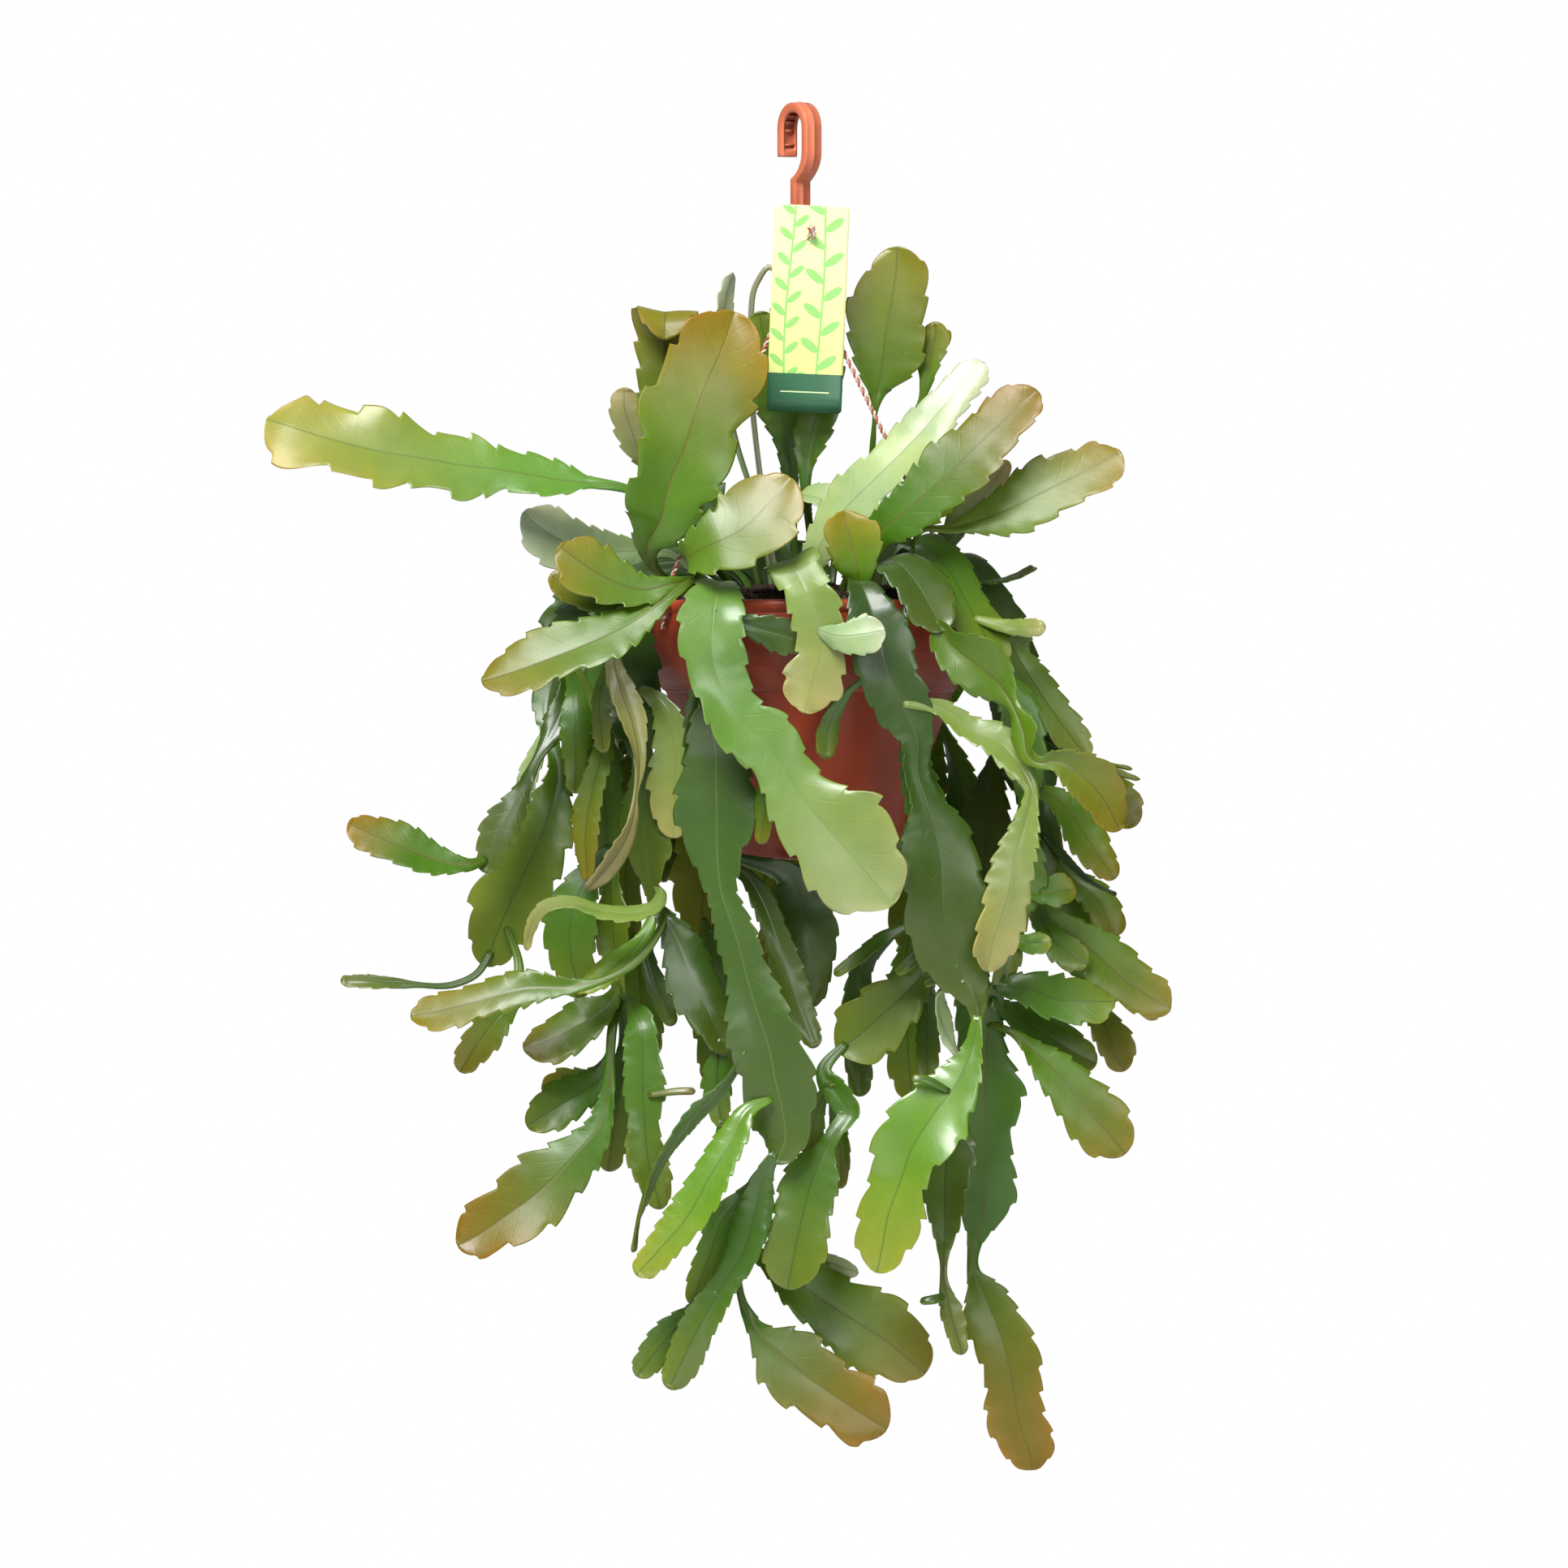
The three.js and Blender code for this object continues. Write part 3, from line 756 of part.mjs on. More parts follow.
function rod(from, to, radius) {
  const length = from.distanceTo(to);
  const geometry = new THREE.CylinderGeometry(radius, radius, length, 8);
  geometry.applyQuaternion(new THREE.Quaternion().setFromUnitVectors(
    new THREE.Vector3(0, 1, 0), to.clone().sub(from).normalize()));
  geometry.translate((from.x + to.x) / 2, (from.y + to.y) / 2, (from.z + to.z) / 2);
  return geometry;
}

function hangerRod(angle, radius, shorten) {
  const { from, lug } = cordEnds(angle);
  const way = lug.clone().sub(from).normalize();
  return rod(from.clone().addScaledVector(way, shorten), lug, radius);
}

function cordGeometry(angle) {
  const { from, lug } = cordEnds(angle);
  const below = lug.clone().setZ(potRimTop - 8);
  const knot = new THREE.SphereGeometry(2.9, 8, 6);
  knot.rotateX(Math.PI / 2);
  knot.translate(below.x, below.y, potRimTop - 5.2 - touchGap - 2.9);
  const tail = rod(lug.clone().setZ(potRimTop + 0.8), below, cordRadius);
  return joined([rod(from, lug, cordRadius), tail, knot]);
}

// The label: a thin card with a round-cornered outline and a hole, and the tie that holds it.

const labelHole = new THREE.Vector3(4.4, -16.5, -58);

function labelGeometry() {
  const w = labelWidth / 2;
  const h = labelHeight / 2;
  const corner = 2;
  const shape = new THREE.Shape();
  shape.moveTo(-w, -h + corner);
  shape.quadraticCurveTo(-w, -h, -w + corner, -h);
  shape.lineTo(w - corner, -h);
  shape.quadraticCurveTo(w, -h, w, -h + corner);
  shape.lineTo(w, h - corner);
  shape.quadraticCurveTo(w, h, w - corner, h);
  shape.lineTo(-w + corner, h);
  shape.quadraticCurveTo(-w, h, -w, h - corner);
  shape.closePath();
  const hole = new THREE.Path();
  hole.absarc(0.6, h - 11.7, 1.9, 0, 2 * Math.PI, true);
  shape.holes.push(hole);
  const shaping = { depth: labelThickness, bevelEnabled: false, curveSegments: 6 };
  const card = new THREE.ExtrudeGeometry(shape, shaping);
  card.rotateX(Math.PI / 2);
  card.rotateY(THREE.MathUtils.degToRad(2.3));
  card.translate(2.2, labelHole.y + labelThickness / 2, -97.3);
  return card;
}

function labelTieGeometry() {
  const loop = new THREE.TorusGeometry(6.8, 0.9, 6, 12);
  loop.translate(-1.5, -0.7, labelHole.z);
  const front = labelHole.clone().setY(labelHole.y - 1.6);
  const through = rod(new THREE.Vector3(0.6, -7.2, labelHole.z), front, 0.9);
  const knot = new THREE.SphereGeometry(2, 7, 5);
  knot.translate(labelHole.x, labelHole.y - labelThickness / 2 - touchGap - 2, labelHole.z);
  return joined([loop, through, knot]);
}

// Finishes

const finish = (color, roughness) => new THREE.MeshStandardMaterial({ color, roughness, metalness: 0 });
const terracotta = finish(0x9a4526, 0.3);
const leafTones = {
  bronze: finish(0x7d8a35, 0.45),
  glossy: finish(0x7fa552, 0.35),
  pale: finish(0xa9bf86, 0.45),
  bright: finish(0x6f9a2f, 0.45),
  yellow: finish(0xa7ab55, 0.45),
  mid: finish(0x5f8a3a, 0.45),
  dark: finish(0x3d5e38, 0.4),
};

// The whole plant hangs from the hook's crown, which stands a little left of the pot's axis.

const plant = new THREE.Group();
plant.position.x = plantShift;

function place(name, geometry, material) {
  const mesh = new THREE.Mesh(geometry, material);
  mesh.name = name;
  plant.add(mesh);
}

place('hook', hookGeometry(), finish(0xb8643f, 0.4));
place('pot', potGeometry(), terracotta);
place('soil', soilGeometry(), finish(0x2a1b12, 0.95));
lugAngles.forEach((angle, i) => place(`hanger_cord_${i + 1}`, cordGeometry(angle), finish(0xc47a5c, 0.8)));
place('label', labelGeometry(), finish(0xf2f0bb, 0.5));
place('label_tie', labelTieGeometry(), finish(0xc47a5c, 0.8));
for (const one of stems) place(one.name, stemGeometry(one), leafTones[one.tone]);

const object = new THREE.Group();
object.add(plant);

export default object;
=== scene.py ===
import math
import bpy
import numpy as np
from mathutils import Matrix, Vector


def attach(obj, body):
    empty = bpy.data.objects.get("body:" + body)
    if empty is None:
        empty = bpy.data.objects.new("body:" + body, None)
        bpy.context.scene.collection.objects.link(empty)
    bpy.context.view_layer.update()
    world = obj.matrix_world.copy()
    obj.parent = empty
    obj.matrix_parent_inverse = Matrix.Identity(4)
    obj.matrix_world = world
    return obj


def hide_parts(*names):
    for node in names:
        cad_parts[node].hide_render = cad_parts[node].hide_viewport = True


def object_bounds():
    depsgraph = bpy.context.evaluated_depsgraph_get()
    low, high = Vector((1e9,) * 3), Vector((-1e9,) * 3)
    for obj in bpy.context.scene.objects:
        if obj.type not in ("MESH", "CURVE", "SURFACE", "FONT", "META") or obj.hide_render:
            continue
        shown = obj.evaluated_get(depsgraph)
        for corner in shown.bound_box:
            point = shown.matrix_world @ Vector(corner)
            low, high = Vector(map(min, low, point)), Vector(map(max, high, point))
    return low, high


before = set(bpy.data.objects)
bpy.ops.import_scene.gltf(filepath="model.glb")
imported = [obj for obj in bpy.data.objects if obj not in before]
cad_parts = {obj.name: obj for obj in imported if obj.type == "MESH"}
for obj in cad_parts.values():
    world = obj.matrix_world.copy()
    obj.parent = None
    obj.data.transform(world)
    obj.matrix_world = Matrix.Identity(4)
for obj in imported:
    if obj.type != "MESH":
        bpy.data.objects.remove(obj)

mm = 0.001
wholeTurn = 6.283  # radians
cadBox = [list(corner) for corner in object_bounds()]
plantShift = np.array([2.0, 0.0, 0.0])  # from the tables below to the frame, in mm

print("camera")
cameraView = {"distance": 15.0, "aimX": -0.0076, "aimZ": -0.3312, "frameWidth": 0.7728, "sensor": 36.0,
              "clip": (0.5, 900)}

cameraData = bpy.data.cameras.new("camera")
cameraData.sensor_width = cameraView["sensor"]
cameraData.lens = cameraView["sensor"] * cameraView["distance"] / cameraView["frameWidth"]
cameraData.clip_start, cameraData.clip_end = cameraView["clip"]
camera = bpy.data.objects.new("camera", cameraData)
camera.location = (cameraView["aimX"], -cameraView["distance"], cameraView["aimZ"])
camera.rotation_euler = (math.pi / 2, 0, 0)
bpy.context.collection.objects.link(camera)
bpy.context.scene.camera = camera


class Socket:  # a node's output; sums and products of it add Math nodes
    def __init__(self, finish, output):
        self.finish = finish
        self.output = output

    def maths(self, operation, *values):
        return self.finish.node("ShaderNodeMath", {"operation": operation}, dict(enumerate(values)))

    def __add__(self, other):
        return self.maths("ADD", self, other)

    def __sub__(self, other):
        return self.maths("SUBTRACT", self, other)

    def __rsub__(self, other):
        return self.maths("SUBTRACT", other, self)

    def __mul__(self, other):
        return self.maths("MULTIPLY", self, other)

    def __truediv__(self, other):
        return self.maths("DIVIDE", self, other)

    def __pow__(self, other):
        return self.maths("POWER", self, other)

    def __abs__(self):
        return self.maths("ABSOLUTE", self)

    def __lt__(self, other):
        return self.maths("LESS_THAN", self, other)

    __radd__ = __add__
    __rmul__ = __mul__

    def wrapped(self):  # the part after the decimal point
        return self.maths("FRACT", self)

    def sine(self):
        return self.maths("SINE", self)

    def most(self, other):
        return self.maths("MAXIMUM", self, other)

    def step(self, low, high):  # 0 below low, 1 above high, smooth between
        settings = {"interpolation_type": "SMOOTHSTEP", "clamp": True}
        return self.finish.node("ShaderNodeMapRange", settings,
                                {"Value": self, "From Min": low, "From Max": high})


class Finish:  # one material and its nodes
    def __init__(self, name, **fixed):
        self.material = bpy.data.materials.new(name)
        self.material.use_nodes = True
        self.tree = self.material.node_tree
        self.surface = self.tree.nodes["Principled BSDF"]
        for socket, value in fixed.items():
            self.surface.inputs[socket.replace("_", " ")].default_value = value

    def node(self, kind, settings=None, inputs=None, out=0):
        made = self.tree.nodes.new(kind)
        for key, value in (settings or {}).items():
            setattr(made, key, value)
        for key, value in (inputs or {}).items():
            self.feed(made.inputs[key], value)
        return Socket(self, made.outputs[out])

    def feed(self, target, value):
        if isinstance(value, Socket):
            self.tree.links.new(value.output, target)
        else:
            target.default_value = value

    def mix(self, share, one, two, blend="MIX"):
        return self.node("ShaderNodeMix", {"data_type": "RGBA", "blend_type": blend},
                         {0: share, 6: one, 7: two}, 2)

    def tinted(self, share, colour, factor):  # a share of the colour is multiplied by the factor
        return self.mix(share, colour, self.mix(1.0, colour, factor, "MULTIPLY"))

    def noise(self, coordinates, scale, detail=3.0, roughness=0.55):
        inputs = {"Vector": coordinates, "Scale": scale, "Detail": detail, "Roughness": roughness}
        return self.node("ShaderNodeTexNoise", {}, inputs)

    def objectPlace(self):
        return self.node("ShaderNodeTexCoord", {}, {}, "Object")

    def surfacePlace(self, name):  # the two coordinates that a piece's points carry under a name
        split = self.node("ShaderNodeSeparateXYZ", {}, {0: self.node("ShaderNodeUVMap", {"uv_map": name})})
        return split, Socket(self, split.output.node.outputs[1])

    def carried(self, name, out=0):  # what a piece's points carry: 0 as a colour, 2 as a number
        return self.node("ShaderNodeAttribute", {"attribute_name": name}, {}, out)

    def bump(self, height, distance, strength=1.0):
        inputs = {"Height": height, "Distance": distance, "Strength": strength}
        return self.node("ShaderNodeBump", {}, inputs)

    def use(self, **links):
        for socket, value in links.items():
            self.feed(self.surface.inputs[socket.replace("_", " ")], value)
        return self.material


def shade(red, green, blue):  # a screen colour, 0 to 255, as light values
    part = np.array([red, green, blue]) / 255
    light = np.where(part <= 0.04045, part / 12.92, ((part + 0.055) / 1.055) ** 2.4)
    return (*(float(v) for v in light), 1.0)


def tubeFaces(rows, ring):
    # A grid of rows by ring points, closed round the ring, with one middle point at each end.
    r, k = np.meshgrid(np.arange(rows - 1), np.arange(ring), indexing="ij")
    nextK = (k + 1) % ring
    quads = np.stack([r * ring + k, r * ring + nextK, (r + 1) * ring + nextK, (r + 1) * ring + k], -1)
    k = np.arange(ring)
    start = np.stack([np.full(ring, rows * ring), (k + 1) % ring, k], -1)
    last = (rows - 1) * ring
    end = np.stack([np.full(ring, rows * ring + 1), last + k, last + (k + 1) % ring], -1)
    return quads.reshape(-1, 4), np.concatenate([start, end])


def turnFaces(rows, ring):
    # A grid closed both ways round, as on a ring or on a card with a hole.
    r, k = np.meshgrid(np.arange(rows), np.arange(ring), indexing="ij")
    nextR, nextK = (r + 1) % rows, (k + 1) % ring
    quads = np.stack([r * ring + k, r * ring + nextK, nextR * ring + nextK, nextR * ring + k], -1)
    return quads.reshape(-1, 4), np.zeros((0, 3), int)


def volumeOf(points, quads, triangles):
    # Six times the volume inside the faces, and below 0 where they point inwards.
    sides = np.concatenate([quads[:, [0, 1, 2]], quads[:, [0, 2, 3]], triangles])
    a, b, c = (points[sides[:, i]] for i in range(3))
    return float(np.einsum("ij,ij->i", a, np.cross(b, c)).sum())


class Shape:  # gathers closed surfaces, each with what its points carry, into one mesh
    def __init__(self):
        self.points, self.quads, self.triangles = [], [], []
        self.carried = {}
        self.count = 0

    def add(self, points, quads, triangles, **carried):
        if volumeOf(points - points.mean(0), quads, triangles) < 0:
            quads, triangles = quads[:, ::-1], triangles[:, ::-1]
        self.points.append(points)
        self.quads.append(quads + self.count)
        self.triangles.append(triangles + self.count)
        self.count += len(points)
        for name, values in carried.items():
            self.carried.setdefault(name, []).append(values)

    def tube(self, rings, **carried):
        # rings is an array of rows, ring points and coordinates; the ends close at their middles.
        rows, ring, _ = rings.shape
        quads, triangles = tubeFaces(rows, ring)
        closed = np.concatenate([rings.reshape(-1, 3), rings[0].mean(0)[None], rings[-1].mean(0)[None]])
        full = {}
        for name, values in carried.items():
            ends = [values[0].mean(0)[None], values[-1].mean(0)[None]]
            full[name] = np.concatenate([values.reshape(rows * ring, -1), *ends])
        self.add(closed, quads, triangles, **full)

    def band(self, rings, **carried):  # the same, closed both ways round
        full = {name: values.reshape(-1, values.shape[-1]) for name, values in carried.items()}
        self.add(rings.reshape(-1, 3), *turnFaces(*rings.shape[:2]), **full)

    def piece(self, name, material, slotName, node):  # makes the mesh, in place of a solid's node
        points = np.concatenate(self.points) * mm
        quads, triangles = np.concatenate(self.quads), np.concatenate(self.triangles)
        mesh = bpy.data.meshes.new(name)
        mesh.vertices.add(len(points))
        mesh.vertices.foreach_set("co", points.ravel())
        corners = np.concatenate([quads.ravel(), triangles.ravel()])
        totals = np.concatenate([np.full(len(quads), 4), np.full(len(triangles), 3)])
        mesh.loops.add(len(corners))
        mesh.loops.foreach_set("vertex_index", corners)
        mesh.polygons.add(len(totals))
        mesh.polygons.foreach_set("loop_start", np.concatenate([[0], np.cumsum(totals)[:-1]]))
        mesh.polygons.foreach_set("loop_total", totals)
        mesh.update(calc_edges=True)
        mesh.polygons.foreach_set("use_smooth", np.full(len(totals), True))
        for key, lists in self.carried.items():
            values = np.concatenate(lists)
            if values.shape[1] == 2:
                layer = mesh.uv_layers.new(name=key)
                layer.uv.foreach_set("vector", values[corners].astype(np.float32).ravel())
            else:
                layer = mesh.attributes.new(key, "FLOAT_COLOR", "POINT")
                full = np.concatenate([values, np.ones((len(values), 1))], 1)
                layer.data.foreach_set("color", full.astype(np.float32).ravel())
        mesh.validate()
        mesh.materials.append(material)
        made = bpy.data.objects.new(name, mesh)
        bpy.context.collection.objects.link(made)
        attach(made, "root")
        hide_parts(node)


def smoothStep(value, low, high):
    t = np.clip((value - low) / (high - low), 0, 1)
    return t * t * (3 - 2 * t)


def unit(vectors):
    return vectors / np.linalg.norm(vectors, axis=-1, keepdims=True)


def distances(points):  # from the first point along a line to each
    return np.concatenate([[0], np.cumsum(np.linalg.norm(np.diff(points, axis=0), axis=1))])


def spun(points, turn):  # turned about the upright line
    c, s = math.cos(turn), math.sin(turn)
    x, y, z = points[..., 0], points[..., 1], points[..., 2]
    return np.stack([x * c - y * s, x * s + y * c, z], -1)


def lathe(profile, sides, centre):
    # A profile of radius and height carried round a vertical line through centre, as rings.
    angle = np.linspace(0, 2 * np.pi, sides, endpoint=False)
    radius, height = profile[:, 0, None], profile[:, 1, None]
    return np.stack([radius * np.cos(angle) + centre[0], radius * np.sin(angle) + centre[1],
                     height + centre[2] + 0 * angle], -1)


def rounded(points, radius, steps=4, closed=False):
    # Corners of a path of two numbers a point replaced by arcs: each is a square curve that leaves
    # and meets its two sides at the radius given, or at 45% of the shorter side.
    points = np.asarray(points, float)
    out = [] if closed else [points[0]]
    count = len(points)
    for i in range(count) if closed else range(1, count - 1):
        before, here, after = points[i - 1], points[i], points[(i + 1) % count]
        toBefore, toAfter = before - here, after - here
        lengths = np.linalg.norm([toBefore, toAfter], axis=1)
        reach = np.minimum(radius, 0.45 * lengths) / lengths
        start, end = here + toBefore * reach[0], here + toAfter * reach[1]
        for t in np.linspace(0, 1, steps + 1):
            out.append((1 - t) ** 2 * start + 2 * t * (1 - t) * here + t * t * end)
    if not closed:
        out.append(points[-1])
    return np.array(out)


def cubic(u, step, start, end, startSlope, endSlope):
    # The cubic from start to end over a step, at shares u of it, with the slopes given at its ends.
    return ((2 * u ** 3 - 3 * u ** 2 + 1) * start + (u ** 3 - 2 * u ** 2 + u) * step * startSlope
            + (3 * u ** 2 - 2 * u ** 3) * end + (u ** 3 - u ** 2) * step * endSlope)


def alongPath(points, spacing):
    # A smooth curve through the points: cubics whose slope at each point is that of its neighbours,
    # sampled evenly. Gives the places and the unit ways along them.
    points = np.asarray(points, float)
    slopes = np.gradient(points, axis=0)
    chords = np.linalg.norm(np.diff(points, axis=0), axis=1)
    knots = np.concatenate([[0], np.cumsum(chords)])
    s = np.linspace(0, knots[-1], max(3, int(knots[-1] / spacing) + 1))
    i = np.clip(np.searchsorted(knots, s, side="right") - 1, 0, len(points) - 2)
    u = ((s - knots[i]) / chords[i])[:, None]
    places = cubic(u, 1, points[i], points[i + 1], slopes[i], slopes[i + 1])
    return places, unit(np.gradient(places, axis=0))


def frameAlong(ways, first):
    # Two directions square to the way along a path, turned as little as possible from one row on.
    sides = np.zeros_like(ways)
    side = np.asarray(first, float)
    for i, way in enumerate(ways):
        side = side - way * (side @ way)
        side = side / np.linalg.norm(side)
        sides[i] = side
    return sides, np.cross(ways, sides)


def blade(stations, face, twist=0, fold=0.1, wave=0):
    # Stations are places along the blade's middle and its full width there, mm. The face is the way
    # that it looks at the tip, and the twist is in degrees from the tip to the base.
    return stations, face, twist, fold, wave


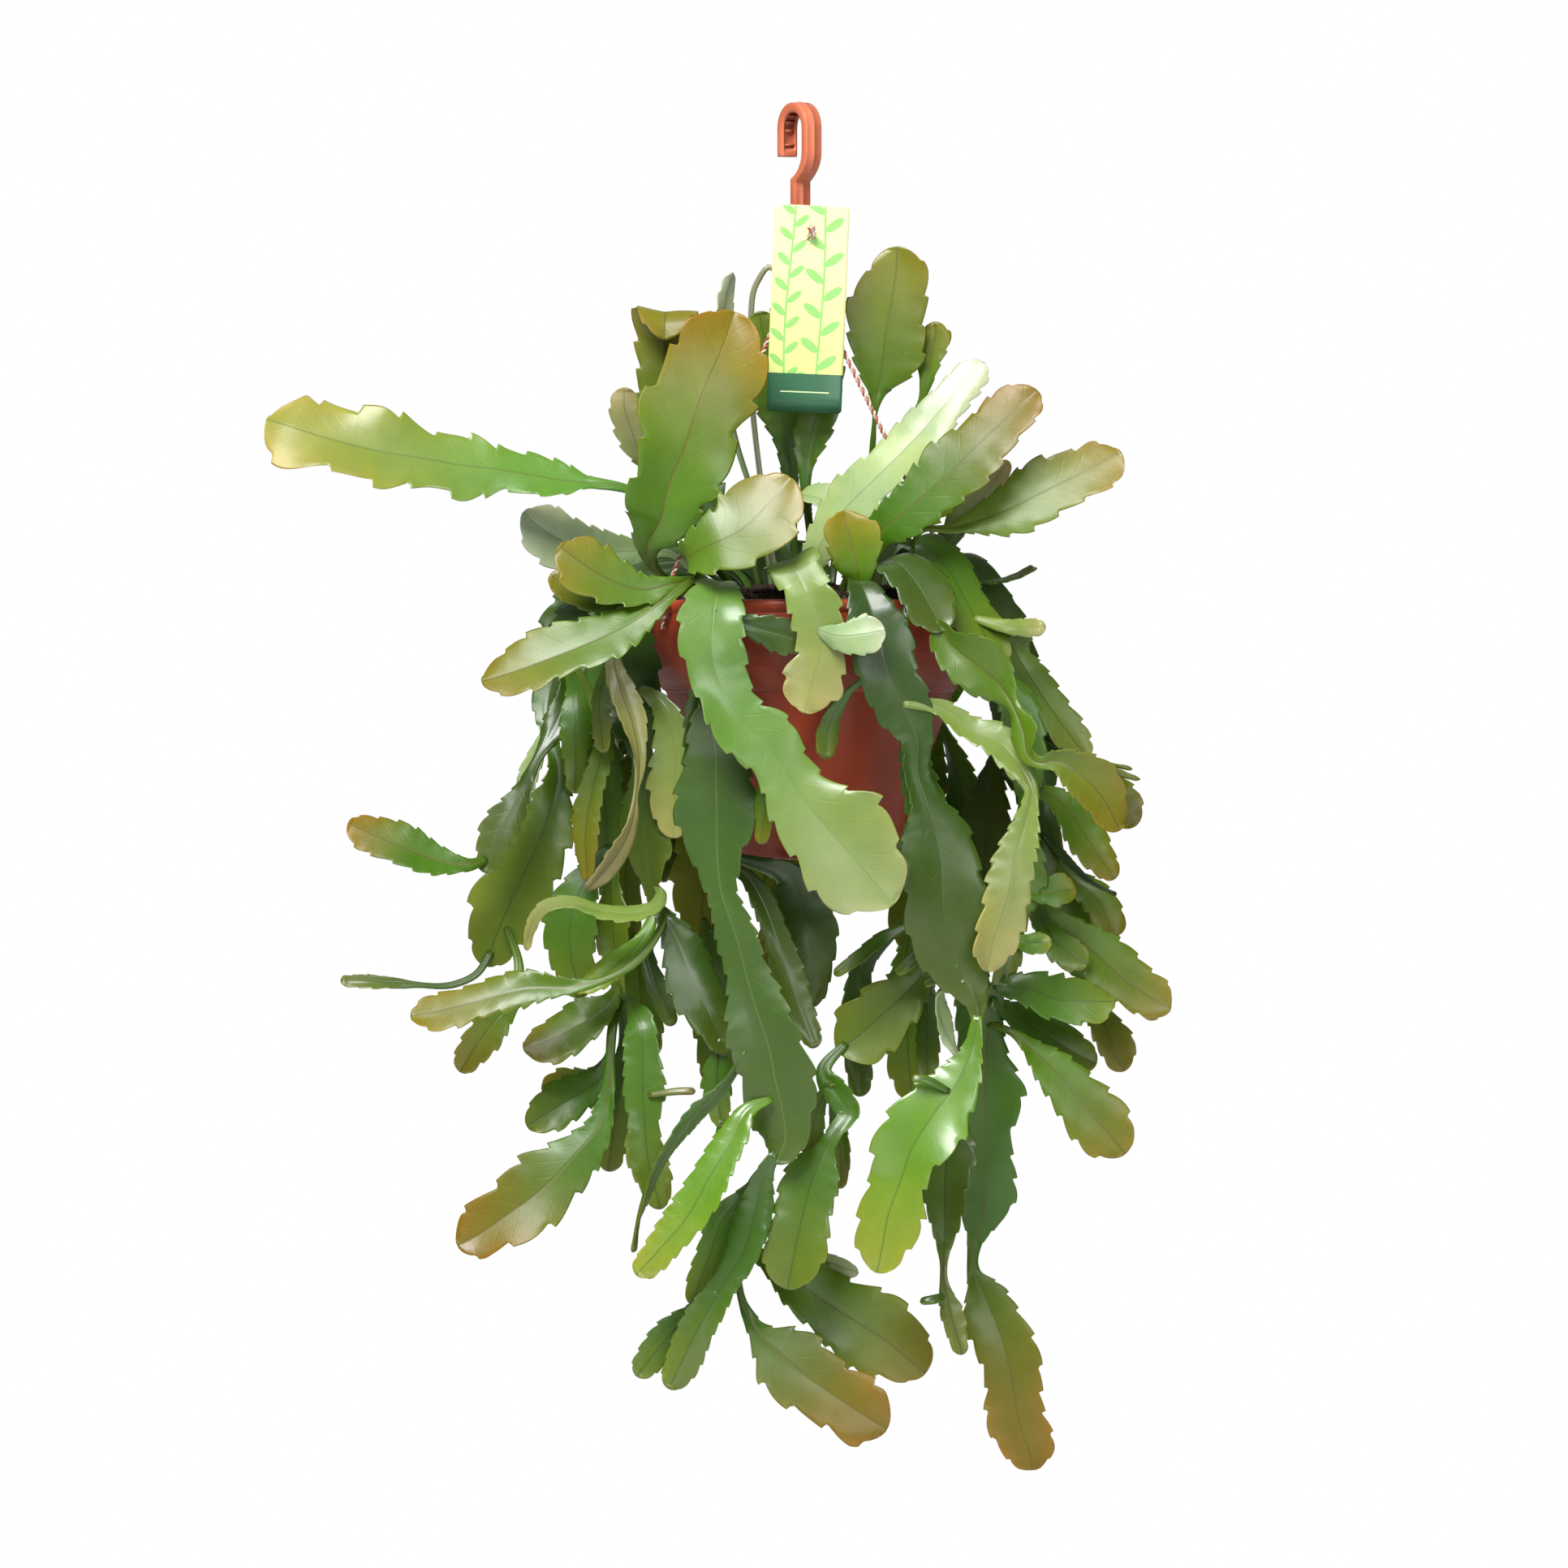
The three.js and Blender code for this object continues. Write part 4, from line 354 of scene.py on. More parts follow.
# The leafy stems, as in the solids. Each has a name, a tone, the place of its root, and its blades.
stems = [
  ("stem_upright_left", "bronze", [-56, -24], [
    blade([[-70, -31, -228, 4], [-77, -44, -215, 14], [-70, -50, -201, 38], [-67, -52, -187, 44],
      [-59, -54, -167, 52], [-50, -52, -140, 56], [-40, -46, -117, 46], [-34, -40, -99, 26]],
      [0.3, -0.9, 0.3], fold=0.16),
  ]),
  ("stem_long_left", "glossy", [-28, -12], [
    blade([[-38, -14, -222, 4], [-60, -22, -200, 4], [-87, -28, -186, 5], [-107, -31, -183, 10],
      [-119, -33, -182, 24], [-131, -35, -180, 30], [-148, -38, -177, 24], [-166, -41, -175, 37],
      [-184, -44, -172, 37], [-213, -48, -167, 44], [-239, -50, -160, 47], [-254, -49, -155, 42],
      [-264, -44, -152, 30]], [0.1, -0.85, 0.5], wave=1.6),
  ]),
  ("stem_folded_left", "mid", [-36, 4], [
    blade([[-46, -2, -222, 4], [-60, -12, -200, 6], [-68, -16, -180, 14], [-70, -18, -160, 26],
      [-69, -18, -130, 30], [-68, -19, -108, 30], [-68, -24, -99, 31], [-68, -31, -104, 26],
      [-68, -34, -113, 14]], [0, -0.95, 0.2], fold=0.06),
    blade([[-66, -17, -184, 4], [-78, -24, -172, 8], [-84, -28, -158, 18], [-88, -29, -146, 18],
      [-88, -28, -136, 12]], [-0.2, -0.95, 0.1]),
  ]),
  ("stem_pale_edge", "pale", [-16, 8], [
    blade([[-22, 4, -200, 4], [-34, 0, -160, 5], [-41, -4, -122, 10], [-40, -6, -104, 14],
      [-38, -7, -90, 13], [-35, -7, -79, 7]], [0.92, -0.38, 0.1]),
  ]),
  ("stem_thin_arch", "mid", [-14, 26], [
    blade([[-20, 24, -190, 3], [-26, 20, -130, 3], [-26, 17, -103, 3], [-23, 15, -84, 3],
      [-16, 14, -76, 3], [-13, 14, -79, 4], [-11, 14, -90, 10], [-11, 13, -103, 14], [-11, 13, -114, 8]],
      [0.1, -0.95, 0.1]),
  ]),
  ("stem_front_left", "bronze", [-46, -46], [
    blade([[-54, -58, -226, 5], [-56, -76, -220, 16], [-45, -85, -214, 36], [-32, -87, -208, 46],
      [-18, -85, -195, 42], [-6, -81, -181, 28]], [-0.2, -0.9, 0.35], fold=0.16),
    blade([[-50, -52, -231, 4], [-64, -62, -233, 8], [-78, -66, -236, 18], [-93, -69, -232, 31],
      [-110, -71, -222, 30], [-120, -71, -214, 18]], [-0.1, -0.85, 0.5], fold=0.14),
    blade([[-66, -62, -234, 4], [-88, -54, -242, 14], [-110, -51, -236, 22], [-125, -50, -229, 14]],
      [-0.1, -0.9, 0.4]),
    blade([[-54, -58, -231, 4], [-64, -66, -238, 8], [-84, -74, -252, 22], [-102, -78, -261, 31],
      [-122, -80, -269, 33], [-144, -81, -277, 30], [-158, -80, -281, 20]], [0, -0.8, 0.6], fold=0.12),
    blade([[-84, -72, -252, 3], [-93, -66, -268, 7], [-90, -65, -284, 14], [-84, -65, -302, 14],
      [-81, -65, -320, 8], [-83, -65, -338, 3], [-85, -66, -352, 10], [-92, -67, -366, 14],
      [-100, -68, -376, 10], [-107, -68, -383, 5]], [0.8, -0.55, 0.1], twist=20, fold=0.3),
    blade([[-90, -70, -256, 3], [-95, -58, -272, 6], [-100, -54, -290, 11], [-99, -53, -306, 11],
      [-98, -53, -316, 6]], [-0.5, -0.85, 0.1]),
  ]),
  ("stem_pale_left", "pale", [-52, 3], [
    blade([[-64, 1, -219, 4], [-84, -3, -217, 12], [-104, -8, -217, 26], [-120, -12, -211, 32],
      [-132, -14, -203, 28], [-138, -15, -197, 18]], [0.1, -0.85, 0.5]),
  ]),
  ("stem_behind_label_left", "mid", [-4, 14], [
    blade([[-5, 14, -200, 4], [-6, 12, -182, 8], [-8, 9, -163, 14], [-11, 6, -148, 22],
      [-16, 4, -125, 26], [-20, 3, -108, 22], [-22, 3, -98, 12]], [-0.1, -0.95, 0.1], fold=0.12),
  ]),
  ("stem_behind_label_right", "mid", [6, 0], [
    blade([[3, -2, -205, 4], [1, -3, -186, 5], [1, -3, -175, 8], [3, -3, -161, 17], [6, -3, -149, 22],
      [9, -2, -128, 24], [10, -1, -107, 14]], [0.15, -0.95, 0.1], fold=0.12),
    blade([[2, -3, -190, 4], [-2, -14, -189, 10], [7, -22, -191, 18], [17, -27, -196, 12]],
      [0.1, -0.5, 0.85]),
  ]),
  ("stem_upright_right", "bright", [26, 12], [
    blade([[30, 10, -200, 4], [34, 8, -165, 3], [36, 7, -141, 7], [39, 6, -124, 35], [41, 5, -107, 41],
      [44, 5, -90, 39], [46, 6, -76, 29], [46, 6, -66, 20]], [0.15, -0.95, 0.15]),
    blade([[33, 8, -172, 3], [50, 12, -155, 3], [58, 13, -142, 3], [61, 13, -131, 8], [63, 13, -120, 15],
      [65, 13, -110, 17], [65, 13, -103, 10]], [-0.1, -0.95, 0.1]),
  ]),
  ("stem_pale_right", "pale", [2, -34], [
    blade([[4, -36, -226, 10], [9, -39, -213, 24], [20, -43, -197, 30], [36, -46, -181, 30],
      [52, -46, -165, 28], [68, -44, -147, 24], [80, -41, -133, 20], [89, -38, -124, 13]],
      [-0.25, -0.85, 0.45], wave=0.8),
  ]),
  ("stem_broad_right", "bronze", [20, -46], [
    blade([[26, -51, -226, 5], [36, -57, -209, 14], [50, -62, -198, 28], [66, -65, -184, 34],
      [89, -65, -162, 34], [104, -62, -148, 28], [115, -59, -138, 18]], [-0.2, -0.9, 0.35]),
  ]),
  ("stem_pale_stripe", "pale", [44, -4], [
    blade([[56, -10, -226, 5], [70, -16, -212, 12], [84, -19, -194, 18], [93, -20, -183, 16],
      [101, -20, -172, 8]], [0.68, -0.25, 0.68]),
  ]),
  ("stem_front_wavy", "yellow", [-4, -60], [
    blade([[-6, -66, -226, 20], [-6, -82, -222, 32], [0.8, -91, -235.2, 23.2], [7.2, -94, -251.2, 27.2],
      [8, -94, -268, 28], [4, -94, -282, 31.2], [0.8, -94, -296.8, 18]], [0.1, -0.95, 0.15], fold=0.12,
      wave=1.2),
    blade([[7, -94, -256, 4], [18, -101, -259, 15], [30, -104, -258, 23], [40, -104, -256, 17]],
      [0, -0.95, 0.3], fold=-0.1),
  ]),
  ("stem_front_chain", "glossy", [-34, -52], [
    blade([[-38, -60, -234, 10], [-41.2, -76, -233.6, 20], [-43.6, -88, -242.8, 28.8],
      [-44.8, -95, -262.8, 37.6], [-42.4, -95, -276.8, 31.2], [-38, -95, -288, 27.2],
      [-31.2, -96, -300, 32.8], [-20, -98, -310.8, 36.8], [-12, -100, -321.6, 28.8],
      [-4.8, -102, -332, 32.8], [6, -105, -346.8, 46], [20, -107, -362.8, 56.8],
      [32.8, -108, -377.6, 47.2], [44, -108, -390.4, 24.8]], [-0.15, -0.9, 0.4], wave=1.2),
    blade([[-43.6, -90, -247.6, 4], [-26, -87, -254, 12], [-8, -87, -259.2, 18], [4, -87, -264, 10]],
      [0.1, -0.95, 0.1]),
    blade([[-16, -98.5, -316, 4], [-15.2, -90, -324, 8.8], [-18, -87, -340, 12.8],
      [-20.8, -85, -360.8, 7.2]], [-0.3, -0.95, 0.1]),
    blade([[-39.2, -94.5, -283.2, 4], [-44.8, -84, -292.8, 12.8], [-44.4, -80, -306.8, 28],
      [-43.2, -78, -314.8, 34.4], [-42.8, -77, -328.8, 39.2], [-42.4, -77, -344.8, 41.2],
      [-42.4, -77, -360.8, 36], [-41.6, -78, -372.8, 26], [-40, -79, -384.8, 16], [-36, -81, -396.8, 18],
      [-32, -82, -408.8, 24], [-28, -82, -424.8, 24], [-23.2, -82, -440.8, 30],
      [-16.8, -82, -460.8, 40.8], [-13.6, -82, -476.8, 39.2], [-10, -82, -492.8, 34],
      [-8.8, -82, -504.8, 26], [-13.6, -82, -517.6, 9.6]], [-0.1, -0.97, 0.15], wave=0.8),
    blade([[-28, -82, -462, 4], [-36, -79, -473, 8], [-43, -79, -483, 10], [-55, -79, -495, 12],
      [-66, -79, -510, 12], [-75, -79, -526, 12], [-80, -79, -540, 11], [-84, -79, -561, 6]],
      [0.75, -0.3, 0.55], fold=0.2),
    blade([[-16, -83, -486, 4], [-28, -88, -492, 10], [-34, -91, -504, 18], [-46, -94, -524, 24],
      [-58, -95, -545, 22], [-71, -94, -560, 18], [-82, -93, -572, 11]], [-0.25, -0.9, 0.3], fold=0.14),
    blade([[-14, -82, -512, 4], [-20, -81, -524, 12], [-24, -80, -541, 18], [-30, -80, -561, 19],
      [-40, -80, -577, 14], [-49, -80, -593, 18], [-58, -80, -611, 20], [-66, -80, -628, 12]],
      [0.1, -0.95, 0.1]),
    blade([[-19, -80, -522, 4], [-28, -70, -532, 8], [-39, -66, -544, 12], [-46, -65, -563, 16],
      [-51, -65, -576, 14], [-55, -65, -587, 8]], [-0.2, -0.95, 0.1]),
    blade([[-42, -80, -581, 4], [-54, -72, -590, 9], [-66, -70, -602, 17], [-75, -70, -613, 17],
      [-82, -70, -622, 10]], [0.1, -0.9, 0.3]),
    blade([[-44.8, -91.5, -252.8, 4], [-48, -80, -264, 6], [-51.2, -72, -284, 8], [-52, -64, -302, 16],
      [-50, -60, -320, 22], [-48, -58, -340, 22], [-44, -57, -358, 12], [-38, -58, -370, 6],
      [-28, -59, -376.8, 8], [-20.8, -60, -388, 12.8], [-14, -60, -404.8, 15.2], [-7.2, -60, -424.8, 16],
      [0, -60, -446, 16], [6, -60, -460.8, 8.8]], [0.2, -0.95, 0.1]),
    blade([[-38, -57, -366, 4], [-20, -50, -371, 8], [-7, -46, -376, 16], [-2, -44, -391, 27],
      [4, -44, -411, 27], [5, -44, -426, 20], [3, -44, -441, 11]], [0.15, -0.95, 0.1], fold=0.12),
  ]),
  ("stem_front_right", "mid", [24, -60], [
    blade([[27, -64, -236, 6], [27, -68, -230, 14], [24, -70, -215, 29], [21, -70, -204, 26],
      [20, -69, -197, 18]], [0.1, -0.95, 0.2], fold=0.2),
    blade([[26, -66, -232, 4.8], [28, -80, -232.8, 15.2], [32.8, -89, -245.6, 24.8],
      [37.2, -92, -260.8, 31.2], [40.8, -93, -276.8, 34], [48.8, -92, -293.6, 28.8],
      [55.2, -91, -308.8, 16.8], [55.2, -91, -324.8, 16], [60, -92, -340.8, 19.2],
      [64.8, -92, -356.8, 36], [67.2, -93, -368.8, 43.2], [68, -94, -384.8, 46], [70, -93, -404.8, 36],
      [78, -91, -424.8, 28.8], [84.8, -90, -440.8, 10], [85.2, -89, -449.6, 5.6]], [0.2, -0.95, 0.15],
      wave=0.8),
    blade([[85.2, -90, -444.8, 4.8], [84, -91, -453.6, 8], [82, -92, -461.6, 11.2], [76, -94, -476.8, 26],
      [64, -96, -492.8, 40], [52.8, -96, -510.8, 36.8], [47.2, -95, -526.8, 32.8],
      [42, -95, -540.8, 36.8], [38.8, -94, -556.8, 30.4], [36, -92, -570.8, 18]], [-0.2, -0.92, 0.3],
      fold=0.12, wave=0.8),
    blade([[48.8, -92, -292, 4], [66, -90, -293.6, 8.8], [80, -91, -303.2, 16], [96, -93, -311.2, 20.8],
      [106, -94, -323.2, 15.2], [111.2, -94, -332.8, 8], [108.8, -94, -348.8, 14], [104, -95, -364, 20],
      [100, -96, -387.2, 26], [92.8, -96, -408.8, 24], [90, -96, -423.2, 15.2]], [0.3, -0.9, 0.25],
      fold=0.16),
    blade([[84.8, -90, -447.2, 3.2], [80, -80, -478, 3.2], [76, -76, -490.8, 6.4],
      [72.8, -75, -500, 19.2], [70.4, -73, -512.8, 32], [69.2, -72, -526.8, 29.6],
      [69.2, -72, -538.8, 22.4], [69.2, -71, -550.8, 14.4], [68.8, -70, -566, 4], [68.8, -71, -574, 4],
      [72, -72, -590, 12], [78, -72, -611.2, 7.2]], [-0.2, -0.95, 0.05]),
    blade([[69, -70, -582, 3], [64, -77, -584, 5], [57, -77, -585, 4]], [0, -0.9, 0.4]),
    blade([[78.8, -90.5, -427.2, 3.2], [66, -82, -434, 8], [68, -78, -450, 11.2], [76, -77, -466, 4.8]],
      [0.85, -0.4, 0.2]),
    blade([[75.6, -91.5, -420, 3.2], [66, -84, -426, 6], [59.2, -83, -430, 4]], [0, -0.9, 0.4]),
    blade([[71.2, -95, -481.6, 3.2], [59.2, -98, -476, 4.8], [52.8, -98, -475.2, 4]], [0, -0.9, 0.4]),
    blade([[39.6, -92.5, -270.8, 4], [32, -87, -278, 4], [22, -84, -286, 4], [15.2, -83, -296, 8.8],
      [11.2, -82, -308, 12.8], [11.2, -81, -319.2, 8]], [0.1, -0.95, 0.1]),
  ]),
  ("stem_right_drape", "dark", [30, -42], [
    blade([[34, -52, -226, 10], [44, -62, -222, 26], [55, -70, -233, 31], [62, -76, -245, 29],
      [68, -80, -257, 18]], [0.35, -0.85, 0.4], fold=0.14),
    blade([[66, -78, -251, 5], [72, -80, -262, 18], [84, -84, -272, 30], [96, -86, -282, 22],
      [103, -90, -293, 8], [108, -98, -306, 17], [111, -103, -318, 9], [116, -106, -321, 6],
      [123, -106, -320, 12], [136, -104, -327, 24], [147, -101, -339, 25], [155, -98, -354, 16]],
      [0.1, -0.9, 0.35], fold=0.3),
    blade([[52, -69, -231.2, 4], [50, -77, -252, 4], [50, -77, -270, 4], [50, -75, -292, 6],
      [55.2, -70, -320, 16], [60, -67, -348, 24], [62, -66, -374, 26], [60.8, -64, -396, 14],
      [60, -63, -414, 6], [58, -62, -424.8, 10], [51.2, -62, -432.8, 24], [39.2, -62, -444, 36.8],
      [27.2, -62, -454.8, 34], [16.8, -62, -462.8, 18]], [0.1, -0.95, 0.2], fold=0.14),
    blade([[20.8, -62, -458.4, 4], [10, -66, -472.8, 8], [16.8, -70, -484, 12.8], [22, -72, -492.8, 12.8],
      [16.8, -74, -500, 10], [12, -75, -507.2, 8.8], [6, -76, -520, 24], [0, -76, -540.8, 32],
      [-4, -76, -559.2, 31.2], [-8, -75, -579.2, 20]], [-0.1, -0.95, 0.2], fold=0.12),
    blade([[61, -66, -398, 4], [50, -68, -402, 6], [40, -69, -406, 9], [28, -69, -416, 9],
      [15, -68, -425, 5]], [0.2, -0.75, 0.6]),
    blade([[60, -64, -406, 4], [57, -74, -413, 6], [52, -77, -419, 8], [45, -77, -424, 5]],
      [0.2, -0.85, 0.4]),
    blade([[58, -64, -396, 4], [42, -46, -406, 6], [28, -41, -424, 13], [26, -40, -450, 16],
      [27, -40, -470, 15], [28, -40, -485, 9]], [0.1, -0.95, 0.1]),
    blade([[59, -62, -412, 4], [60, -52, -430, 10], [61, -49, -455, 14], [61, -49, -477, 8]],
      [-0.2, -0.95, 0.1]),
    blade([[13, -70, -477, 4], [6, -60, -492, 9], [4, -59, -506, 12], [5, -58, -520, 8]],
      [0.2, -0.95, 0.1]),
    blade([[14, -70, -478, 4], [16, -57, -496, 8], [18, -56, -512, 10], [18, -56, -530, 6]],
      [0.3, -0.9, 0.1]),
  ]),
  ("stem_right_arch", "dark", [46, -28], [
    blade([[47, -34, -222, 8], [56, -42, -214, 20], [69, -48, -224, 25], [81, -54, -244, 26],
      [92, -59, -265, 22], [99, -60, -281, 10]], [0.5, -0.8, 0.35], fold=0.14),
    blade([[52, -42, -216, 3], [60, -53, -206, 3], [70, -54, -206, 5], [80, -55, -204, 12],
      [97, -57, -198, 26], [118, -57, -188, 33], [136, -55, -179, 32], [149, -52, -172, 27],
      [156, -50, -168, 20]], [0, -0.85, 0.5]),
    blade([[84, -56, -250, 4], [101, -58, -254, 8], [112, -55, -254, 11], [119, -53, -254, 8]],
      [0, -0.9, 0.4]),
    blade([[99, -60, -276, 4], [104, -60, -290, 20], [108, -60, -311, 26], [110, -60, -330, 14],
      [109, -61, -344, 8], [107, -63, -358, 22], [105, -64, -378, 28], [103, -66, -398, 18],
      [100, -68, -416, 16], [96, -68, -432, 8]], [0.2, -0.95, 0.1]),
    blade([[110, -60, -334, 4], [120, -57, -336, 10], [129, -55, -343, 18], [137, -52, -354, 22],
      [145, -50, -366, 19], [153, -48, -378, 10]], [0.1, -0.95, 0.2]),
    blade([[106, -64, -384, 4], [114, -62, -385, 10], [124, -62, -384, 18], [134, -60, -383, 12]],
      [0, -0.85, 0.5]),
    blade([[103, -66, -407, 3], [109, -70, -409, 9], [116, -70, -409, 11], [122, -70, -409, 8]],
      [0, -0.9, 0.4]),
    blade([[94, -68, -430, 5], [100, -70, -431, 12], [110, -70, -432, 22], [124, -68, -437, 29],
      [141, -66, -438, 28], [153, -64, -438, 20]], [0, -0.85, 0.5]),
    blade([[96, -68, -426, 4.8], [92, -64, -440.8, 13.6], [88.8, -60, -464.8, 28],
      [88.8, -58, -482.8, 37.6], [89.2, -56, -504.8, 29.6], [89.2, -55, -524.8, 28.8],
      [88.8, -54, -536.8, 29.6], [86.8, -54, -546.8, 19.2], [83.6, -54, -558.8, 7.2],
      [83.2, -54, -569.6, 6.4], [89.6, -55, -584.8, 24], [97.6, -58, -604.8, 32],
      [102.4, -59, -624.8, 28.8], [106, -59, -644.8, 30.4], [111.2, -58, -660.8, 24.8],
      [112.8, -57, -668.8, 19.2]], [0.05, -0.97, 0.2], fold=0.12),
    blade([[92, -68, -438, 5], [105, -55, -446, 18], [120, -50, -455, 25], [134, -48, -464, 23],
      [144, -46, -469, 14]], [0, -0.9, 0.4]),
    blade([[90.8, -62, -448.8, 4], [104, -67, -454, 4.8], [112.8, -68, -462, 12], [124, -70, -472.8, 24],
      [140, -70, -492, 31.2], [151.2, -69, -504.8, 26], [158, -68, -512.8, 18]], [0.1, -0.95, 0.2]),
  ]),
  ("stem_right_side", "dark", [50, 4], [
    blade([[62, -4, -225, 10], [79, -11, -222, 18], [92, -15, -242, 27], [101, -18, -263, 24],
      [107, -19, -276, 10]], [0.5, -0.75, 0.4], fold=0.12),
    blade([[78, -12, -231, 3], [92, -22, -232, 12], [106, -27, -229, 14], [115, -29, -225, 8]],
      [-0.3, -0.12, 0.95]),
    blade([[100, -18, -258, 5], [105, -27, -268, 15], [111, -33, -278, 20], [120, -37, -292, 22],
      [130, -38, -306, 19], [140, -38, -319, 10]], [0.4, -0.85, 0.3]),
    blade([[104, -16, -268, 5], [111, -21, -288, 24], [116, -22, -314, 28], [118, -24, -338, 14],
      [118, -26, -352, 16], [117, -28, -370, 20], [115, -31, -388, 8]], [0.3, -0.95, 0.05]),
    blade([[114, -21, -308, 3], [132, -18, -316, 10], [148, -18, -321, 12], [162, -19, -324, 6]],
      [-0.25, -0.14, 0.95]),
    blade([[116, -22, -316, 3], [134, -8, -322, 10], [150, -6, -326, 12], [166, -6, -329, 6]],
      [-0.25, -0.14, 0.95]),
    blade([[118, -27, -356, 4], [128, -31, -368, 10], [138, -33, -377, 12], [154, -34, -386, 7]],
      [0.4, -0.4, 0.8]),
    blade([[115, -30, -386, 5], [119, -37, -395, 12], [128, -39, -402, 19], [144, -41, -415, 26],
      [160, -42, -429, 28], [172, -42, -437, 24], [181, -42, -442, 15]], [0, -0.95, 0.3]),
    blade([[116, -33, -390, 4], [120, -48, -404, 14], [130, -51, -414, 18], [140, -51, -420, 12]],
      [0, -0.9, 0.3]),
    blade([[115, -29, -382, 3], [120, -18, -398, 10], [126, -18, -410, 12], [130, -19, -421, 7]],
      [0.9, -0.4, 0.1]),
  ]),
  ("stem_right_behind", "dark", [46, 24], [
    blade([[64, 20, -224, 10], [84, 18, -230, 22], [98, 16, -252, 29], [110, 14, -286, 28],
      [112, 12, -316, 10], [116, 12, -336, 22], [121, 10, -354, 24], [126, 8, -372, 8]],
      [0.7, -0.6, 0.3]),
    blade([[124, 8, -368, 6], [134, 0, -379, 14], [144, -4, -387, 20], [150, -6, -398, 20],
      [152, -7, -408, 12]], [0.2, -0.95, 0.2]),
    blade([[112, 12, -316, 4], [130, 8, -319, 5], [142, 6, -324, 10], [150, 6, -334, 20],
      [158, 7, -344, 21], [164, 7, -352, 14]], [0.1, -0.95, 0.2]),
    blade([[125, 8, -368, 5], [131, 8, -392, 22], [137, 9, -415, 26], [142, 7, -434, 8],
      [147, 4, -447, 16], [153, 2, -460, 20], [158, 1, -473, 12]], [0.2, -0.95, 0.1]),
  ]),
  ("stem_left_inner", "dark", [-46, -12], [
    blade([[-60, -12, -227, 7], [-78, -13, -231, 20], [-87, -26, -248, 28], [-85, -33, -272, 30],
      [-82, -39, -298, 28], [-79, -43, -320, 11], [-77, -45, -340, 26], [-77, -46, -362, 28],
      [-74, -47, -384, 10], [-72, -48, -394, 6]], [-0.4, -0.9, 0.1]),
    blade([[-72, -47, -382, 4], [-70, -60, -386, 6], [-73, -68, -392, 9], [-82, -72, -395, 14],
      [-98, -74, -394, 16], [-116, -74, -390, 16], [-127, -73, -393, 14], [-134, -72, -403, 12],
      [-136, -71, -413, 6]], [-0.7, -0.5, 0.5]),
    blade([[-72, -48, -388, 4], [-69, -60, -398, 4], [-74, -65, -409, 4], [-83, -67, -419, 5],
      [-97, -68, -427, 4], [-114, -69, -431, 9], [-137, -68, -432, 20], [-160, -66, -438, 25],
      [-180, -64, -443, 24], [-193, -62, -445, 15]], [0, -0.85, 0.5]),
    blade([[-72, -48, -392, 4], [-78, -54, -406, 8], [-92, -56, -420, 15], [-104, -56, -429, 13],
      [-112, -56, -433, 7]], [-0.1, -0.85, 0.5]),
    blade([[-73, -48, -390, 4], [-68, -56, -397, 10], [-62, -59, -408, 20], [-56, -60, -423, 28],
      [-46, -60, -445, 25], [-41, -60, -456, 18], [-36, -60, -464, 11]], [0.1, -0.95, 0.2]),
    blade([[-72, -48, -392, 4], [-78, -48, -408, 7], [-76, -50, -420, 9], [-71, -51, -435, 11],
      [-64, -52, -450, 7]], [0.2, -0.95, 0.1]),
    blade([[-80, -41, -284, 4], [-70, -47, -292, 12], [-64, -50, -310, 24], [-63, -52, -336, 26],
      [-64, -52, -358, 16]], [-0.2, -0.95, 0.1]),
    blade([[-40, -60, -456, 4], [-42, -60, -470, 13], [-42, -60, -486, 14], [-40, -59, -500, 7]],
      [0.2, -0.95, 0.1]),
    blade([[-40, -59, -496, 4], [-44, -57, -520, 4], [-43, -56, -537, 4], [-38, -57, -552, 4],
      [-33, -60, -572, 4], [-29, -63, -588, 5], [-22, -66, -600, 14], [-12, -67, -610, 33],
      [-1, -68, -620, 38], [17, -68, -633, 38], [31, -68, -642, 32], [41, -67, -648, 22]],
      [-0.1, -0.95, 0.25], fold=0.12),
    blade([[-37, -57, -556, 4], [-28, -53, -560, 5], [-20, -50, -564, 11], [-10, -48, -570, 22],
      [3, -47, -580, 34], [22, -46, -593, 40], [42, -46, -606, 40], [53, -46, -615, 32],
      [60, -46, -621, 24]], [0.1, -0.95, 0.25], fold=0.12),
    blade([[-12, -48, -566, 4], [4, -40, -564, 7], [16, -37, -568, 10], [27, -36, -572, 6]],
      [0, -0.85, 0.5]),
  ]),
  ("stem_left_middle", "mid", [-40, 18], [
    blade([[-56, 12, -224, 8], [-80, 4, -230, 20], [-93, -4, -250, 28], [-97, -10, -276, 28],
      [-98, -14, -300, 11], [-98, -17, -324, 26], [-97, -20, -350, 28], [-95, -22, -376, 10],
      [-94, -25, -398, 20], [-92, -27, -420, 10], [-90, -30, -438, 6]], [-0.5, -0.85, 0.1]),
    blade([[-91, -29, -430, 4], [-96, -38, -440, 12], [-104, -41, -446, 25], [-120, -42, -455, 29],
      [-130, -42, -459, 24], [-138, -42, -461, 16]], [0, -0.85, 0.5]),
    blade([[-91, -29, -434, 4], [-84, -50, -440, 6], [-80, -62, -450, 16], [-79, -65, -466, 20],
      [-79, -66, -483, 22], [-78, -66, -497, 16], [-77, -66, -511, 20], [-73, -65, -528, 17],
      [-70, -64, -540, 9]], [-0.1, -0.95, 0.1], wave=0.8),
    blade([[-90, -30, -436, 4], [-94, -42, -452, 5], [-95, -46, -466, 5], [-96, -50, -483, 8],
      [-101, -54, -500, 16], [-111, -56, -512, 26], [-127, -58, -529, 37], [-150, -60, -546, 34],
      [-162, -60, -554, 28], [-170, -60, -558, 20]], [0.1, -0.9, 0.35], wave=0.8),
